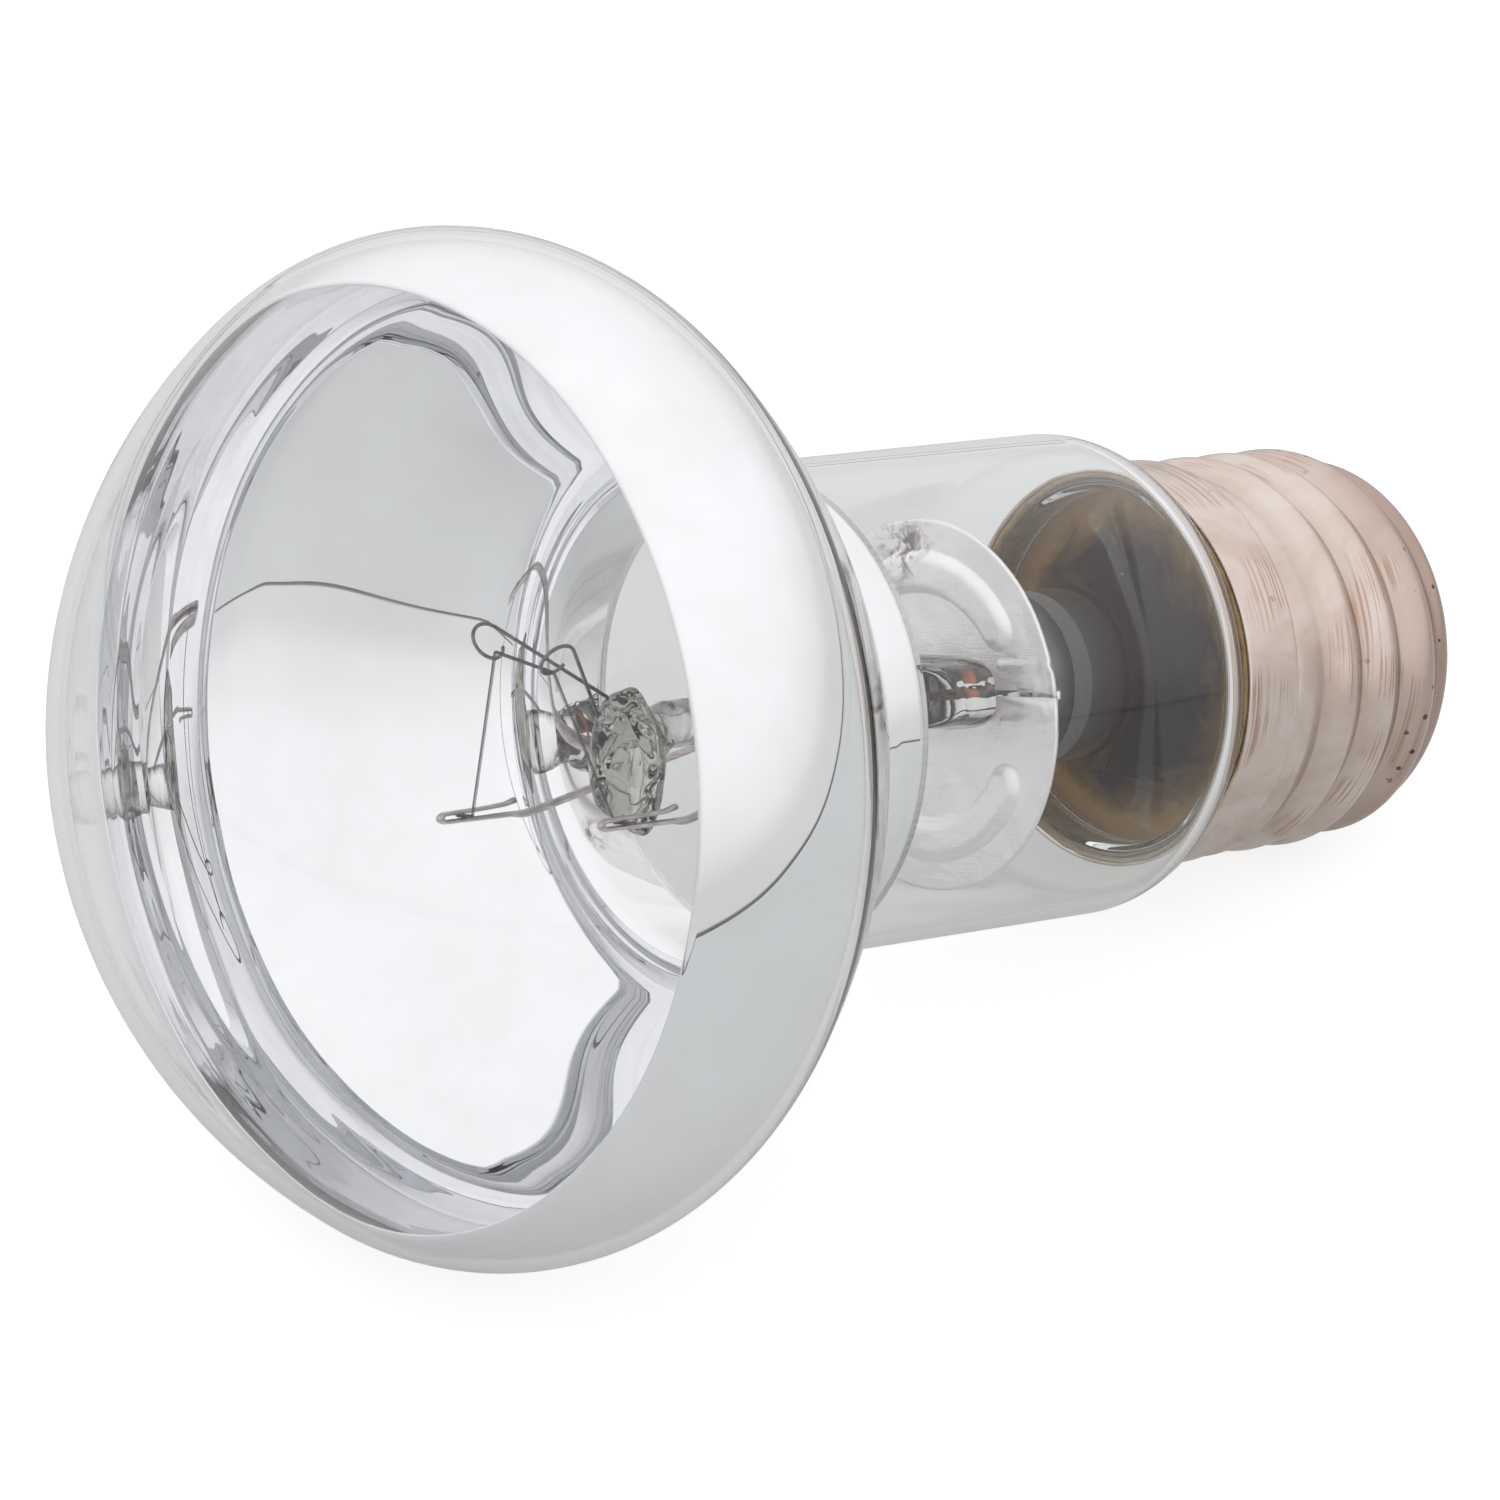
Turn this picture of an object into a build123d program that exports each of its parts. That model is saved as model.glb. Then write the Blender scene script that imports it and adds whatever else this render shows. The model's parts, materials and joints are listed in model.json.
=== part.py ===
from build123d import *
import os
from math import asin, atan2, cos, degrees, hypot, radians, sin, sqrt

# Reflector lamp with a screw cap, lying on the rim of its bulb and on its cap.
# Lengths are in millimetres and angles in degrees. A station is a distance along
# the lamp's axis, from the tip of the cap towards the face.

# Cap: end contact, insulator, threaded shell and plain skirt
CAP_SHEET = 0.3
SOLDER_RADIUS = 3.0
SOLDER_HEIGHT = 0.9
CONTACT_RADIUS = 4.8
CONTACT_SHEET = 0.5
INSULATOR_NOSE_RADIUS = 6.2
INSULATOR_CONE = 4.6
INSULATOR_PLUG = 1.2
SHELL_OPENING = 10.3
SHELL_END_ROUND = 1.25
THREAD_CREST_RADIUS = 13.1
THREAD_RIDGE = 1.3
THREAD_DEPTH = 0.95
THREAD_PITCH = 3.62
THREAD_TURNS = 3.15
THREAD_START_ANGLE = 275.0
THREAD_END_CAP = 3.0
THREAD_RUN_OUT = 0.1
SKIRT_STEP = 0.6
SKIRT_RADIUS = 13.25
SKIRT_LENGTH = 4.4
BEAD_RADIUS = 0.8
CEMENT_GAP = 0.55
CEMENT_RECESS = 0.5

# Bulb: one blown glass envelope
GLASS_WALL = 0.8
RIM_RADIUS = 31.75
RIM_ROUND = 10.5
RIM_HEIGHT = 54.7
FACE_RISE = 22.6
BOWL_RADIUS = 62.0
BOWL_ANGLE = 37.6
NECK_RADIUS = 15.6
NECK_FILLET = 4.0
SHOULDER_ROUND = 4.3
SHOULDER_GAP = 0.05
COLLAR_FILLET = 1.0
COLLAR_DEPTH = 2.2

# Mirror film on the inside of the glass
FILM = 0.12
FILM_FRONT_ANGLE = 43.0
FILM_NECK_REACH = 2.7

# Glass stem: flare, tube, pinch, rod and button drawn from one melt
STEM_WALL = 0.9
STEM_RADIUS = 5.6
STEM_TUBE = 6.1
PINCH_TAPER = 4.0
PINCH_LENGTH = 6.5
PINCH_WIDTH = 13.0
PINCH_THICKNESS = 4.2
PINCH_CORNER = 1.9
EXHAUST_RADIUS = 1.9
EXHAUST_BORE = 1.1
EXHAUST_TIP_GAP = 0.5
ROD_RADIUS = 1.5
BUTTON_HEIGHT = 41.5
BUTTON_RADIUS = 2.4
BUTTON_STRAIGHT = 3.8
BUTTON_DROP = 1.9

# Heat shield: a stamped disc on the pinch
SHIELD_RADIUS = 11.9
SHIELD_SHEET = 0.25
SHIELD_DROP = 0.9
SHIELD_SEAT = 2.4
SHIELD_FIT = 0.08
SHIELD_SLIT = 0.4
SHIELD_RIDGE_RADIUS = 8.6
SHIELD_RIDGE = 1.5
SHIELD_RIDGE_SINK = 0.9
SHIELD_END_CAP = 2.0
SHIELD_RIDGE_ARC = 290.0

# Wires
MOUNT_ROLL = 22.0
LEAD_RADIUS = 0.3
LEAD_SPACING = 7.0
LEAD_SPREAD = 15.0
LEAD_DROP = 5.2
LEAD_REACH = 50.2
LEAD_LEVEL = 6.5
LEAD_STRAIGHT = 2.0
LEAD_BEND = 3.0
HOOK_RETURN = 5.6
SEAL_RADIUS = 0.3
SEAL_LENGTH = 5.0
SEAL_DEPTH = 1.5
OUTER_LEAD_RADIUS = 0.2
OUTER_LEAD_BEND = 1.0
LEAD_HOLE_FIT = 0.1
FILAMENT_RADIUS = 0.12
FILAMENT_RISE = 10.2
FILAMENT_TOP_WIDTH = 5.3
FILAMENT_LEAN = 0.8
FILAMENT_FALL = 1.2
FILAMENT_BEND = 0.5
FILAMENT_SET_BACK = 1.4
FILAMENT_TAIL = 0.6
FILAMENT_TUCK = 0.9
SUPPORT_RADIUS = 0.12
SUPPORT_LOOP = 1.15
SUPPORT_LOOP_ARC = 290.0
SUPPORT_ROOT = 5.0
SUPPORT_STAGGER = 1.0
TOUCH = 0.01

# Stations of the cap, from its tip
contact_station = SOLDER_HEIGHT
nose_station = contact_station + CONTACT_SHEET
lip_station = nose_station + INSULATOR_CONE
root_low_station = lip_station + SHELL_END_ROUND
plug_station = root_low_station + INSULATOR_PLUG
thread_station = root_low_station + THREAD_RUN_OUT + THREAD_RIDGE
thread_top_station = thread_station + THREAD_TURNS * THREAD_PITCH
root_top_station = thread_top_station + THREAD_RIDGE + THREAD_RUN_OUT
skirt_station = root_top_station + SKIRT_STEP
rim_edge_station = skirt_station + SKIRT_LENGTH

# Radii of the cap's shell
root_radius = THREAD_CREST_RADIUS - THREAD_DEPTH
ridge_centre = THREAD_CREST_RADIUS - THREAD_RIDGE
end_centre = root_radius - SHELL_END_ROUND
skirt_bore = SKIRT_RADIUS - CAP_SHEET
collar_radius = skirt_bore - CEMENT_GAP

# Bulb outline: centres of its arcs in the half plane of radius and station
rim_station = rim_edge_station + RIM_HEIGHT
rim_centre = RIM_RADIUS - RIM_ROUND
face_lift = FACE_RISE - RIM_ROUND
face_centre = rim_station - (rim_centre**2 - face_lift**2) / (2 * face_lift)
face_radius = rim_station + FACE_RISE - face_centre
face_angle = degrees(atan2(rim_station - face_centre, rim_centre))
bowl_reach = BOWL_RADIUS - RIM_ROUND
bowl_centre = rim_centre - bowl_reach * cos(radians(BOWL_ANGLE))
bowl_station = rim_station + bowl_reach * sin(radians(BOWL_ANGLE))
fillet_centre = NECK_RADIUS + NECK_FILLET
fillet_drop = sqrt((BOWL_RADIUS + NECK_FILLET) ** 2 - (fillet_centre - bowl_centre) ** 2)
neck_top_station = bowl_station - fillet_drop
neck_angle = degrees(atan2(fillet_drop, fillet_centre - bowl_centre))
shoulder_centre = NECK_RADIUS - SHOULDER_ROUND
collar_centre = collar_radius + COLLAR_FILLET
collar_run = collar_centre - shoulder_centre
collar_drop = sqrt((SHOULDER_ROUND + COLLAR_FILLET) ** 2 - collar_run**2)
collar_station = rim_edge_station + SHOULDER_GAP
neck_low_station = collar_station + collar_drop
collar_angle = degrees(atan2(collar_drop, collar_run))
seal_station = rim_edge_station - COLLAR_DEPTH
film_rear_station = neck_top_station - FILM_NECK_REACH

# Stations of the stem
flare_radius = collar_radius - GLASS_WALL - STEM_RADIUS
tube_station = seal_station + flare_radius
taper_station = tube_station + STEM_TUBE
pinch_station = taper_station + PINCH_TAPER
pinch_top_station = pinch_station + PINCH_LENGTH
shield_station = pinch_station + SHIELD_SEAT
button_station = rim_edge_station + BUTTON_HEIGHT

# Places of the wires
lead_root_station = pinch_top_station - SEAL_DEPTH
seal_low_station = lead_root_station - SEAL_LENGTH
hook_radius = LEAD_RADIUS + FILAMENT_RADIUS + TOUCH
hook_station = rim_edge_station + LEAD_REACH
clamp_station = hook_station - FILAMENT_SET_BACK
clamp_rise = hook_radius - LEAD_DROP
filament_rise = clamp_rise + FILAMENT_RISE
lead_place = LEAD_SPACING / 2
crossing_station = plug_station + OUTER_LEAD_BEND + lead_place
exhaust_station = crossing_station + EXHAUST_TIP_GAP
side_radius = (collar_radius + skirt_bore) / 2

# Solder dome on the tip of the cap
solder_sphere = (SOLDER_RADIUS**2 + SOLDER_HEIGHT**2) / (2 * SOLDER_HEIGHT)
solder_half = asin(SOLDER_RADIUS / solder_sphere) / 2


def resting_tilt(station, centre, rounding):
    """Tilt at which the bulb's rim and a round of the cap touch one plane."""
    run = rim_station - station
    rise = rim_centre - centre
    return atan2(rise, run) + asin((RIM_ROUND - rounding) / hypot(run, rise))


# Resting pose: the cap comes down on the end of its shell or on its thread
rest_turn = (270.0 - MOUNT_ROLL - THREAD_START_ANGLE) % 360.0
rest_station = thread_station + THREAD_PITCH * rest_turn / 360.0
tilt = min(
    resting_tilt(root_low_station, end_centre, SHELL_END_ROUND),
    resting_tilt(rest_station, ridge_centre, THREAD_RIDGE),
)
tip_height = RIM_ROUND + rim_centre * cos(tilt) - rim_station * sin(tilt)
tip_overhang = max(
    solder_sphere * (1 - cos(tilt)),
    CONTACT_RADIUS * sin(tilt) - contact_station * cos(tilt),
    INSULATOR_NOSE_RADIUS * sin(tilt) - nose_station * cos(tilt),
)
tip_place = (face_centre * cos(tilt) + face_radius - tip_overhang) / 2

# Pieces are modelled upright, with the axis along Z and the leads apart along X, then laid down
along = Vector(-cos(tilt), 0, sin(tilt))
upward = Vector(sin(tilt), 0, cos(tilt))
sideways = Vector(0, -1, 0)
side_dir = sideways * cos(radians(MOUNT_ROLL)) + upward * sin(radians(MOUNT_ROLL))
lying = Plane(origin=(tip_place, 0, tip_height), x_dir=side_dir, z_dir=along)


def bowl_outline(inset, front_angle, low_station):
    """Outline of rim, bowl and neck, inset from the outside of the glass."""
    CenterArc((rim_centre, rim_station), RIM_ROUND - inset, -BOWL_ANGLE, front_angle + BOWL_ANGLE)
    CenterArc((bowl_centre, bowl_station), BOWL_RADIUS - inset, -neck_angle, neck_angle - BOWL_ANGLE)
    CenterArc((fillet_centre, neck_top_station), NECK_FILLET + inset, 180 - neck_angle, neck_angle)
    Line((NECK_RADIUS - inset, neck_top_station), (NECK_RADIUS - inset, low_station))


def bulb_outline(inset):
    """Whole outline of the bulb from the middle of its face to the end of its collar."""
    CenterArc((0, face_centre), face_radius - inset, face_angle, 90 - face_angle)
    bowl_outline(inset, face_angle, neck_low_station)
    CenterArc((shoulder_centre, neck_low_station), SHOULDER_ROUND - inset, -collar_angle, collar_angle)
    CenterArc((collar_centre, collar_station), COLLAR_FILLET + inset, 180 - collar_angle, collar_angle)
    Line((collar_radius - inset, collar_station), (collar_radius - inset, seal_station))


def rim_point(inset, angle):
    """Point on the rim's arc at an angle ahead of its widest ring."""
    reach = RIM_ROUND - inset
    return (rim_centre + reach * cos(radians(angle)), rim_station + reach * sin(radians(angle)))


def bent_wire(radius, bend, *points):
    """Round wire of straight runs with rounded bends."""
    with BuildPart() as wire:
        with BuildLine() as route:
            FilletPolyline(*points, radius=bend)
        with BuildSketch(Plane(origin=route.line @ 0, z_dir=route.line % 0)):
            Circle(radius)
        sweep(path=route.line)
    return wire.part


def inner_lead(side):
    """Stiff lead from the pinch to the filament, its end folded back as a clamp."""
    root = side * LEAD_SPACING / 2
    spread = side * LEAD_SPREAD / 2
    level_station = hook_station - LEAD_LEVEL
    fold_rise = 2 * hook_radius - LEAD_DROP
    with BuildPart() as lead:
        with BuildLine() as route:
            FilletPolyline(
                (root, 0, lead_root_station),
                (root, 0, pinch_top_station + LEAD_STRAIGHT),
                (spread, -LEAD_DROP, level_station),
                (spread, -LEAD_DROP, hook_station),
                radius=LEAD_BEND,
            )
            ThreePointArc(
                (spread, -LEAD_DROP, hook_station),
                (spread, clamp_rise, hook_station + hook_radius),
                (spread, fold_rise, hook_station),
            )
            Line((spread, fold_rise, hook_station), (spread, fold_rise, hook_station - HOOK_RETURN))
        with BuildSketch(Plane(origin=route.line @ 0, z_dir=route.line % 0)):
            Circle(LEAD_RADIUS)
        sweep(path=route.line)
    return lead.part


def seal_wire(side):
    """Copper-clad wire that carries the current through the glass of the pinch."""
    with BuildPart() as seal:
        with BuildSketch(Plane.XY.offset(seal_low_station)):
            with Locations((side * LEAD_SPACING / 2, 0)):
                Circle(SEAL_RADIUS)
        extrude(amount=SEAL_LENGTH)
    return seal.part


def filament_corner(side):
    """Point over one support where the filament turns: the near one lies lower."""
    fall = FILAMENT_FALL * (1 + side) / 2
    return Vector(side * FILAMENT_TOP_WIDTH / 2 - FILAMENT_LEAN, filament_rise - fall, clamp_station)


def support_wire(side):
    """Support from the button, its end curled into a loop around the filament."""
    corner = filament_corner(side)
    foot = Vector(side * (LEAD_SPREAD / 2 - FILAMENT_TUCK), clamp_rise, clamp_station)
    rising = (corner - foot).normalized()
    crossing = (corner - filament_corner(-side)).normalized()
    outward = (rising + crossing).normalized()
    half_turn = radians(rising.get_angle(-crossing) / 2)
    corner_cut = FILAMENT_BEND * (1 / cos(half_turn) - 1)
    loop_rise = SUPPORT_LOOP - SUPPORT_RADIUS - FILAMENT_RADIUS - TOUCH - corner_cut
    root_station = button_station + side * SUPPORT_STAGGER
    run = clamp_station - root_station
    rise = loop_rise + SUPPORT_ROOT
    heading = atan2(rise, run) + asin(SUPPORT_LOOP / hypot(run, rise))
    reach = sqrt(run**2 + rise**2 - SUPPORT_LOOP**2)
    touch_point = (root_station + reach * cos(heading), reach * sin(heading) - SUPPORT_ROOT)
    loop_origin = Vector(corner.X, corner.Y, 0)
    loop_plane = Plane(origin=loop_origin, x_dir=(0, 0, 1), z_dir=Vector(0, 0, 1).cross(outward))
    with BuildPart() as support:
        with BuildLine(loop_plane) as route:
            Line((root_station, -SUPPORT_ROOT), touch_point)
            JernArc(touch_point, (cos(heading), sin(heading)), SUPPORT_LOOP, -SUPPORT_LOOP_ARC)
        with BuildSketch(Plane(origin=route.line @ 0, z_dir=route.line % 0)):
            Circle(SUPPORT_RADIUS)
        sweep(path=route.line)
    return support.part


def thread_bar(radius, end_gap):
    """Round bar wound along the thread, stopping short of its ends by an angle."""
    start = Location((0, 0, thread_station + THREAD_PITCH * end_gap / 360.0))
    start *= Location((0, 0, 0), (0, 0, THREAD_START_ANGLE + end_gap))
    height = THREAD_PITCH * (THREAD_TURNS - 2 * end_gap / 360.0)
    winding = start * Edge.make_helix(THREAD_PITCH, height, ridge_centre)
    with BuildPart() as bar:
        with BuildSketch(Plane(origin=winding @ 0, z_dir=winding % 0)):
            Circle(radius)
        sweep(path=winding, is_frenet=True)
    return bar.part


def shell_form(inset, end_gap):
    """Solid form of the cap's shell with its thread, inset from the outside of the sheet."""
    bar = thread_bar(THREAD_RIDGE - inset, end_gap)
    with BuildPart() as form:
        with BuildSketch(Plane.XZ):
            with BuildLine():
                CenterArc((end_centre, root_low_station), SHELL_END_ROUND - inset, -90, 90)
                Polyline(
                    (root_radius - inset, root_low_station),
                    (root_radius - inset, root_top_station),
                    (SKIRT_RADIUS - inset, skirt_station),
                    (SKIRT_RADIUS - inset, rim_edge_station),
                    (0, rim_edge_station),
                    (0, lip_station + inset),
                    (end_centre, lip_station + inset),
                )
            make_face()
        revolve(axis=Axis.Z)
        add(bar)
    return form.part


def shield_relief(radius, end_gap):
    """Round ridge pressed into the heat shield, open towards its slit."""
    middle = Location((0, -SHIELD_DROP, shield_station + SHIELD_SHEET - SHIELD_RIDGE_SINK))
    start = middle * Location((0, 0, 0), (0, 0, 180 - SHIELD_RIDGE_ARC / 2 + end_gap))
    ring = start * Edge.make_circle(
        SHIELD_RIDGE_RADIUS, start_angle=0, end_angle=SHIELD_RIDGE_ARC - 2 * end_gap
    )
    with BuildPart() as relief:
        with BuildSketch(Plane(origin=ring @ 0, z_dir=ring % 0)):
            Circle(radius)
        sweep(path=ring)
        split(bisect_by=Plane.XY.offset(shield_station), keep=Keep.TOP)
    return relief.part


# Cap shell: rolled sheet with a round thread, a plain skirt and an end turned in
shell_outside = shell_form(0.0, 0.0)
shell_inside = shell_form(CAP_SHEET, THREAD_END_CAP)
with BuildPart() as cap_shell:
    add(shell_outside)
    add(shell_inside, mode=Mode.SUBTRACT)
    with BuildSketch(Plane.XY.offset(lip_station)):
        Circle(SHELL_OPENING)
    extrude(amount=CAP_SHEET, mode=Mode.SUBTRACT)
cap_shell.part.label = "cap_shell"

# Insulator: pressed glass that fills the end of the shell
lead_hole = OUTER_LEAD_RADIUS + LEAD_HOLE_FIT
with BuildPart() as cap_insulator:
    with BuildSketch(Plane.XZ):
        with BuildLine():
            CenterArc((end_centre, root_low_station), SHELL_END_ROUND - CAP_SHEET, -90, 90)
            Polyline(
                (root_radius - CAP_SHEET, root_low_station),
                (root_radius - CAP_SHEET, plug_station),
                (lead_hole, plug_station),
                (lead_hole, nose_station),
                (INSULATOR_NOSE_RADIUS, nose_station),
                (SHELL_OPENING, lip_station),
                (SHELL_OPENING, lip_station + CAP_SHEET),
                (end_centre, lip_station + CAP_SHEET),
            )
        make_face()
    revolve(axis=Axis.Z)
cap_insulator.part.label = "cap_insulator"

# End contact: a plate with the centre lead soldered through its hole
with BuildPart() as end_contact:
    with BuildSketch(Plane.XY.offset(contact_station)):
        Circle(CONTACT_RADIUS)
        Circle(lead_hole, mode=Mode.SUBTRACT)
    extrude(amount=CONTACT_SHEET)
end_contact.part.label = "end_contact"

# Leads below the glass: one to the end contact, one up beside the bulb to the skirt
turn_station = seal_station - STEM_WALL - OUTER_LEAD_BEND
with BuildPart() as centre_lead:
    add(
        bent_wire(
            OUTER_LEAD_RADIUS,
            OUTER_LEAD_BEND,
            (lead_place, 0, seal_low_station),
            (lead_place, 0, crossing_station),
            (0, 0, plug_station + OUTER_LEAD_BEND),
            (0, 0, contact_station - SOLDER_HEIGHT / 2),
        )
    )
centre_lead.part.label = "centre_lead"
with BuildPart() as side_lead:
    add(
        bent_wire(
            OUTER_LEAD_RADIUS,
            OUTER_LEAD_BEND,
            (-lead_place, 0, seal_low_station),
            (-lead_place, 0, turn_station),
            (-side_radius, 0, turn_station),
            (-side_radius, 0, rim_edge_station + BEAD_RADIUS / 2),
        )
    )
side_lead.part.label = "side_lead"

# Contact solder: a dome over the end contact
with BuildPart() as contact_solder:
    with BuildSketch(Plane.XZ):
        with BuildLine():
            ThreePointArc(
                (0, 0),
                (solder_sphere * sin(solder_half), solder_sphere * (1 - cos(solder_half))),
                (SOLDER_RADIUS, SOLDER_HEIGHT),
            )
            Polyline((SOLDER_RADIUS, SOLDER_HEIGHT), (0, SOLDER_HEIGHT), (0, 0))
        make_face()
    revolve(axis=Axis.Z)
    add(centre_lead.part, mode=Mode.SUBTRACT)
contact_solder.part.label = "contact_solder"

# Cement: a ring that holds the bulb's collar in the skirt
with BuildPart() as cap_cement:
    with BuildSketch(Plane.XY.offset(skirt_station)):
        Circle(skirt_bore - TOUCH)
        Circle(collar_radius, mode=Mode.SUBTRACT)
    extrude(amount=SKIRT_LENGTH - CEMENT_RECESS)
    add(side_lead.part, mode=Mode.SUBTRACT)
cap_cement.part.label = "cap_cement"

# Bulb: face, rim, bowl, neck and collar blown as one
with BuildPart() as glass_bulb:
    with BuildSketch(Plane.XZ):
        with BuildLine():
            bulb_outline(0.0)
            bulb_outline(GLASS_WALL)
            Line((0, face_centre + face_radius - GLASS_WALL), (0, face_centre + face_radius))
            Line((collar_radius - GLASS_WALL, seal_station), (collar_radius, seal_station))
        make_face()
    revolve(axis=Axis.Z)
glass_bulb.part.label = "glass_bulb"

# Skirt solder: a bead that joins the side lead to the edge of the skirt, beside the glass
with BuildPart() as skirt_solder:
    with Locations((BEAD_RADIUS - SKIRT_RADIUS, 0, rim_edge_station)):
        Sphere(BEAD_RADIUS)
    for neighbour in (cap_shell, cap_cement, side_lead, glass_bulb):
        add(neighbour.part, mode=Mode.SUBTRACT)
skirt_solder.part.label = "skirt_solder"

# Mirror film on the rim, the bowl and the front of the neck
with BuildPart() as mirror_film:
    with BuildSketch(Plane.XZ):
        with BuildLine():
            bowl_outline(GLASS_WALL, FILM_FRONT_ANGLE, film_rear_station)
            bowl_outline(GLASS_WALL + FILM, FILM_FRONT_ANGLE, film_rear_station)
            Line(rim_point(GLASS_WALL, FILM_FRONT_ANGLE), rim_point(GLASS_WALL + FILM, FILM_FRONT_ANGLE))
            Line(
                (NECK_RADIUS - GLASS_WALL, film_rear_station),
                (NECK_RADIUS - GLASS_WALL - FILM, film_rear_station),
            )
        make_face()
    revolve(axis=Axis.Z)
mirror_film.part.label = "mirror_film"

# Wires inside the bulb, on the near side and the far side
with BuildPart() as lead_near:
    add(inner_lead(1))
lead_near.part.label = "lead_near"
with BuildPart() as lead_far:
    add(inner_lead(-1))
lead_far.part.label = "lead_far"
with BuildPart() as seal_near:
    add(seal_wire(1))
seal_near.part.label = "seal_near"
with BuildPart() as seal_far:
    add(seal_wire(-1))
seal_far.part.label = "seal_far"
with BuildPart() as support_near:
    add(support_wire(1))
support_near.part.label = "support_near"
with BuildPart() as support_far:
    add(support_wire(-1))
support_far.part.label = "support_far"

# Filament: one strand from clamp to clamp over both supports
foot = LEAD_SPREAD / 2 - FILAMENT_TUCK
tail = LEAD_SPREAD / 2 + FILAMENT_TAIL
with BuildPart() as filament:
    add(
        bent_wire(
            FILAMENT_RADIUS,
            FILAMENT_BEND,
            (-tail, clamp_rise, clamp_station),
            (-foot, clamp_rise, clamp_station),
            filament_corner(-1),
            filament_corner(1),
            (foot, clamp_rise, clamp_station),
            (tail, clamp_rise, clamp_station),
        )
    )
filament.part.label = "filament"

# Stem: flare sealed to the collar, tube, flat pinch, rod and button, with the wires sealed in
tube_bore = STEM_RADIUS - STEM_WALL
button_low = -BUTTON_DROP - BUTTON_STRAIGHT / 2
button_high = -BUTTON_DROP + BUTTON_STRAIGHT / 2
flare_edge = collar_radius - GLASS_WALL
with BuildPart() as glass_stem:
    with BuildSketch(Plane.XZ):
        with BuildLine():
            Line((STEM_RADIUS, taper_station), (STEM_RADIUS, tube_station))
            CenterArc((flare_edge, tube_station), flare_radius, 180, 90)
            Polyline(
                (flare_edge, seal_station),
                (collar_radius, seal_station),
                (collar_radius, seal_station - STEM_WALL),
                (flare_edge, seal_station - STEM_WALL),
            )
            CenterArc((flare_edge, tube_station), flare_radius + STEM_WALL, 180, 90)
            Polyline((tube_bore, tube_station), (tube_bore, taper_station), (STEM_RADIUS, taper_station))
        make_face()
    revolve(axis=Axis.Z)
    with BuildSketch(Plane.XY.offset(taper_station)):
        Circle(STEM_RADIUS)
    with BuildSketch(Plane.XY.offset(pinch_station)):
        RectangleRounded(PINCH_WIDTH, PINCH_THICKNESS, PINCH_CORNER)
    loft()
    with BuildSketch(Plane.XY.offset(pinch_station)):
        RectangleRounded(PINCH_WIDTH, PINCH_THICKNESS, PINCH_CORNER)
    extrude(amount=PINCH_LENGTH)
    with BuildSketch(Plane.XY.offset(pinch_top_station)):
        Circle(ROD_RADIUS)
    extrude(amount=button_station - pinch_top_station)
    with BuildSketch(Plane.XY.offset(exhaust_station)):
        Circle(EXHAUST_RADIUS)
    extrude(amount=taper_station - exhaust_station)
    with BuildSketch(Plane.XY.offset(exhaust_station + EXHAUST_RADIUS)):
        Circle(EXHAUST_BORE)
    extrude(amount=taper_station - exhaust_station - EXHAUST_RADIUS, mode=Mode.SUBTRACT)
    with BuildSketch(Plane.XY.offset(button_station)):
        with BuildLine():
            CenterArc((0, button_low), BUTTON_RADIUS, -90, 90)
            Line((BUTTON_RADIUS, button_low), (BUTTON_RADIUS, button_high))
            CenterArc((0, button_high), BUTTON_RADIUS, 0, 90)
            Line((0, button_high + BUTTON_RADIUS), (0, button_low - BUTTON_RADIUS))
        make_face()
    revolve(axis=Axis((0, 0, button_station), (0, 1, 0)))
    for wire in (lead_near, lead_far, seal_near, seal_far, centre_lead, side_lead, support_near, support_far):
        add(wire.part, mode=Mode.SUBTRACT)
glass_stem.part.label = "glass_stem"

# Heat shield: stamped sheet with a broken ring of relief, slit so that it slides over the pinch
with BuildPart() as heat_shield:
    with BuildSketch(Plane.XY.offset(shield_station)):
        with Locations((0, -SHIELD_DROP)):
            Circle(SHIELD_RADIUS)
    extrude(amount=SHIELD_SHEET)
    add(shield_relief(SHIELD_RIDGE, 0.0))
    add(shield_relief(SHIELD_RIDGE - SHIELD_SHEET, SHIELD_END_CAP), mode=Mode.SUBTRACT)
    with BuildSketch(Plane.XY.offset(shield_station)):
        RectangleRounded(
            PINCH_WIDTH + 2 * SHIELD_FIT, PINCH_THICKNESS + 2 * SHIELD_FIT, PINCH_CORNER + SHIELD_FIT
        )
        with Locations((SHIELD_RADIUS / 2, 0)):
            Rectangle(SHIELD_RADIUS, SHIELD_SLIT)
    extrude(amount=SHIELD_SHEET, mode=Mode.SUBTRACT)
heat_shield.part.label = "heat_shield"

os.makedirs("parts", exist_ok=True)
for piece in (
    glass_bulb,
    mirror_film,
    glass_stem,
    heat_shield,
    lead_near,
    lead_far,
    seal_near,
    seal_far,
    support_near,
    support_far,
    filament,
    centre_lead,
    side_lead,
    cap_shell,
    cap_insulator,
    cap_cement,
    end_contact,
    contact_solder,
    skirt_solder,
):
    laid = piece.part.moved(lying.location)
    laid.label = piece.part.label
    export_step(laid, f"parts/{laid.label}.step")
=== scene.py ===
import json
from math import asin, atan2, cos, degrees, floor, hypot, pi, radians, sin, sqrt

import bpy
from mathutils import Matrix, Vector, noise


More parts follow.
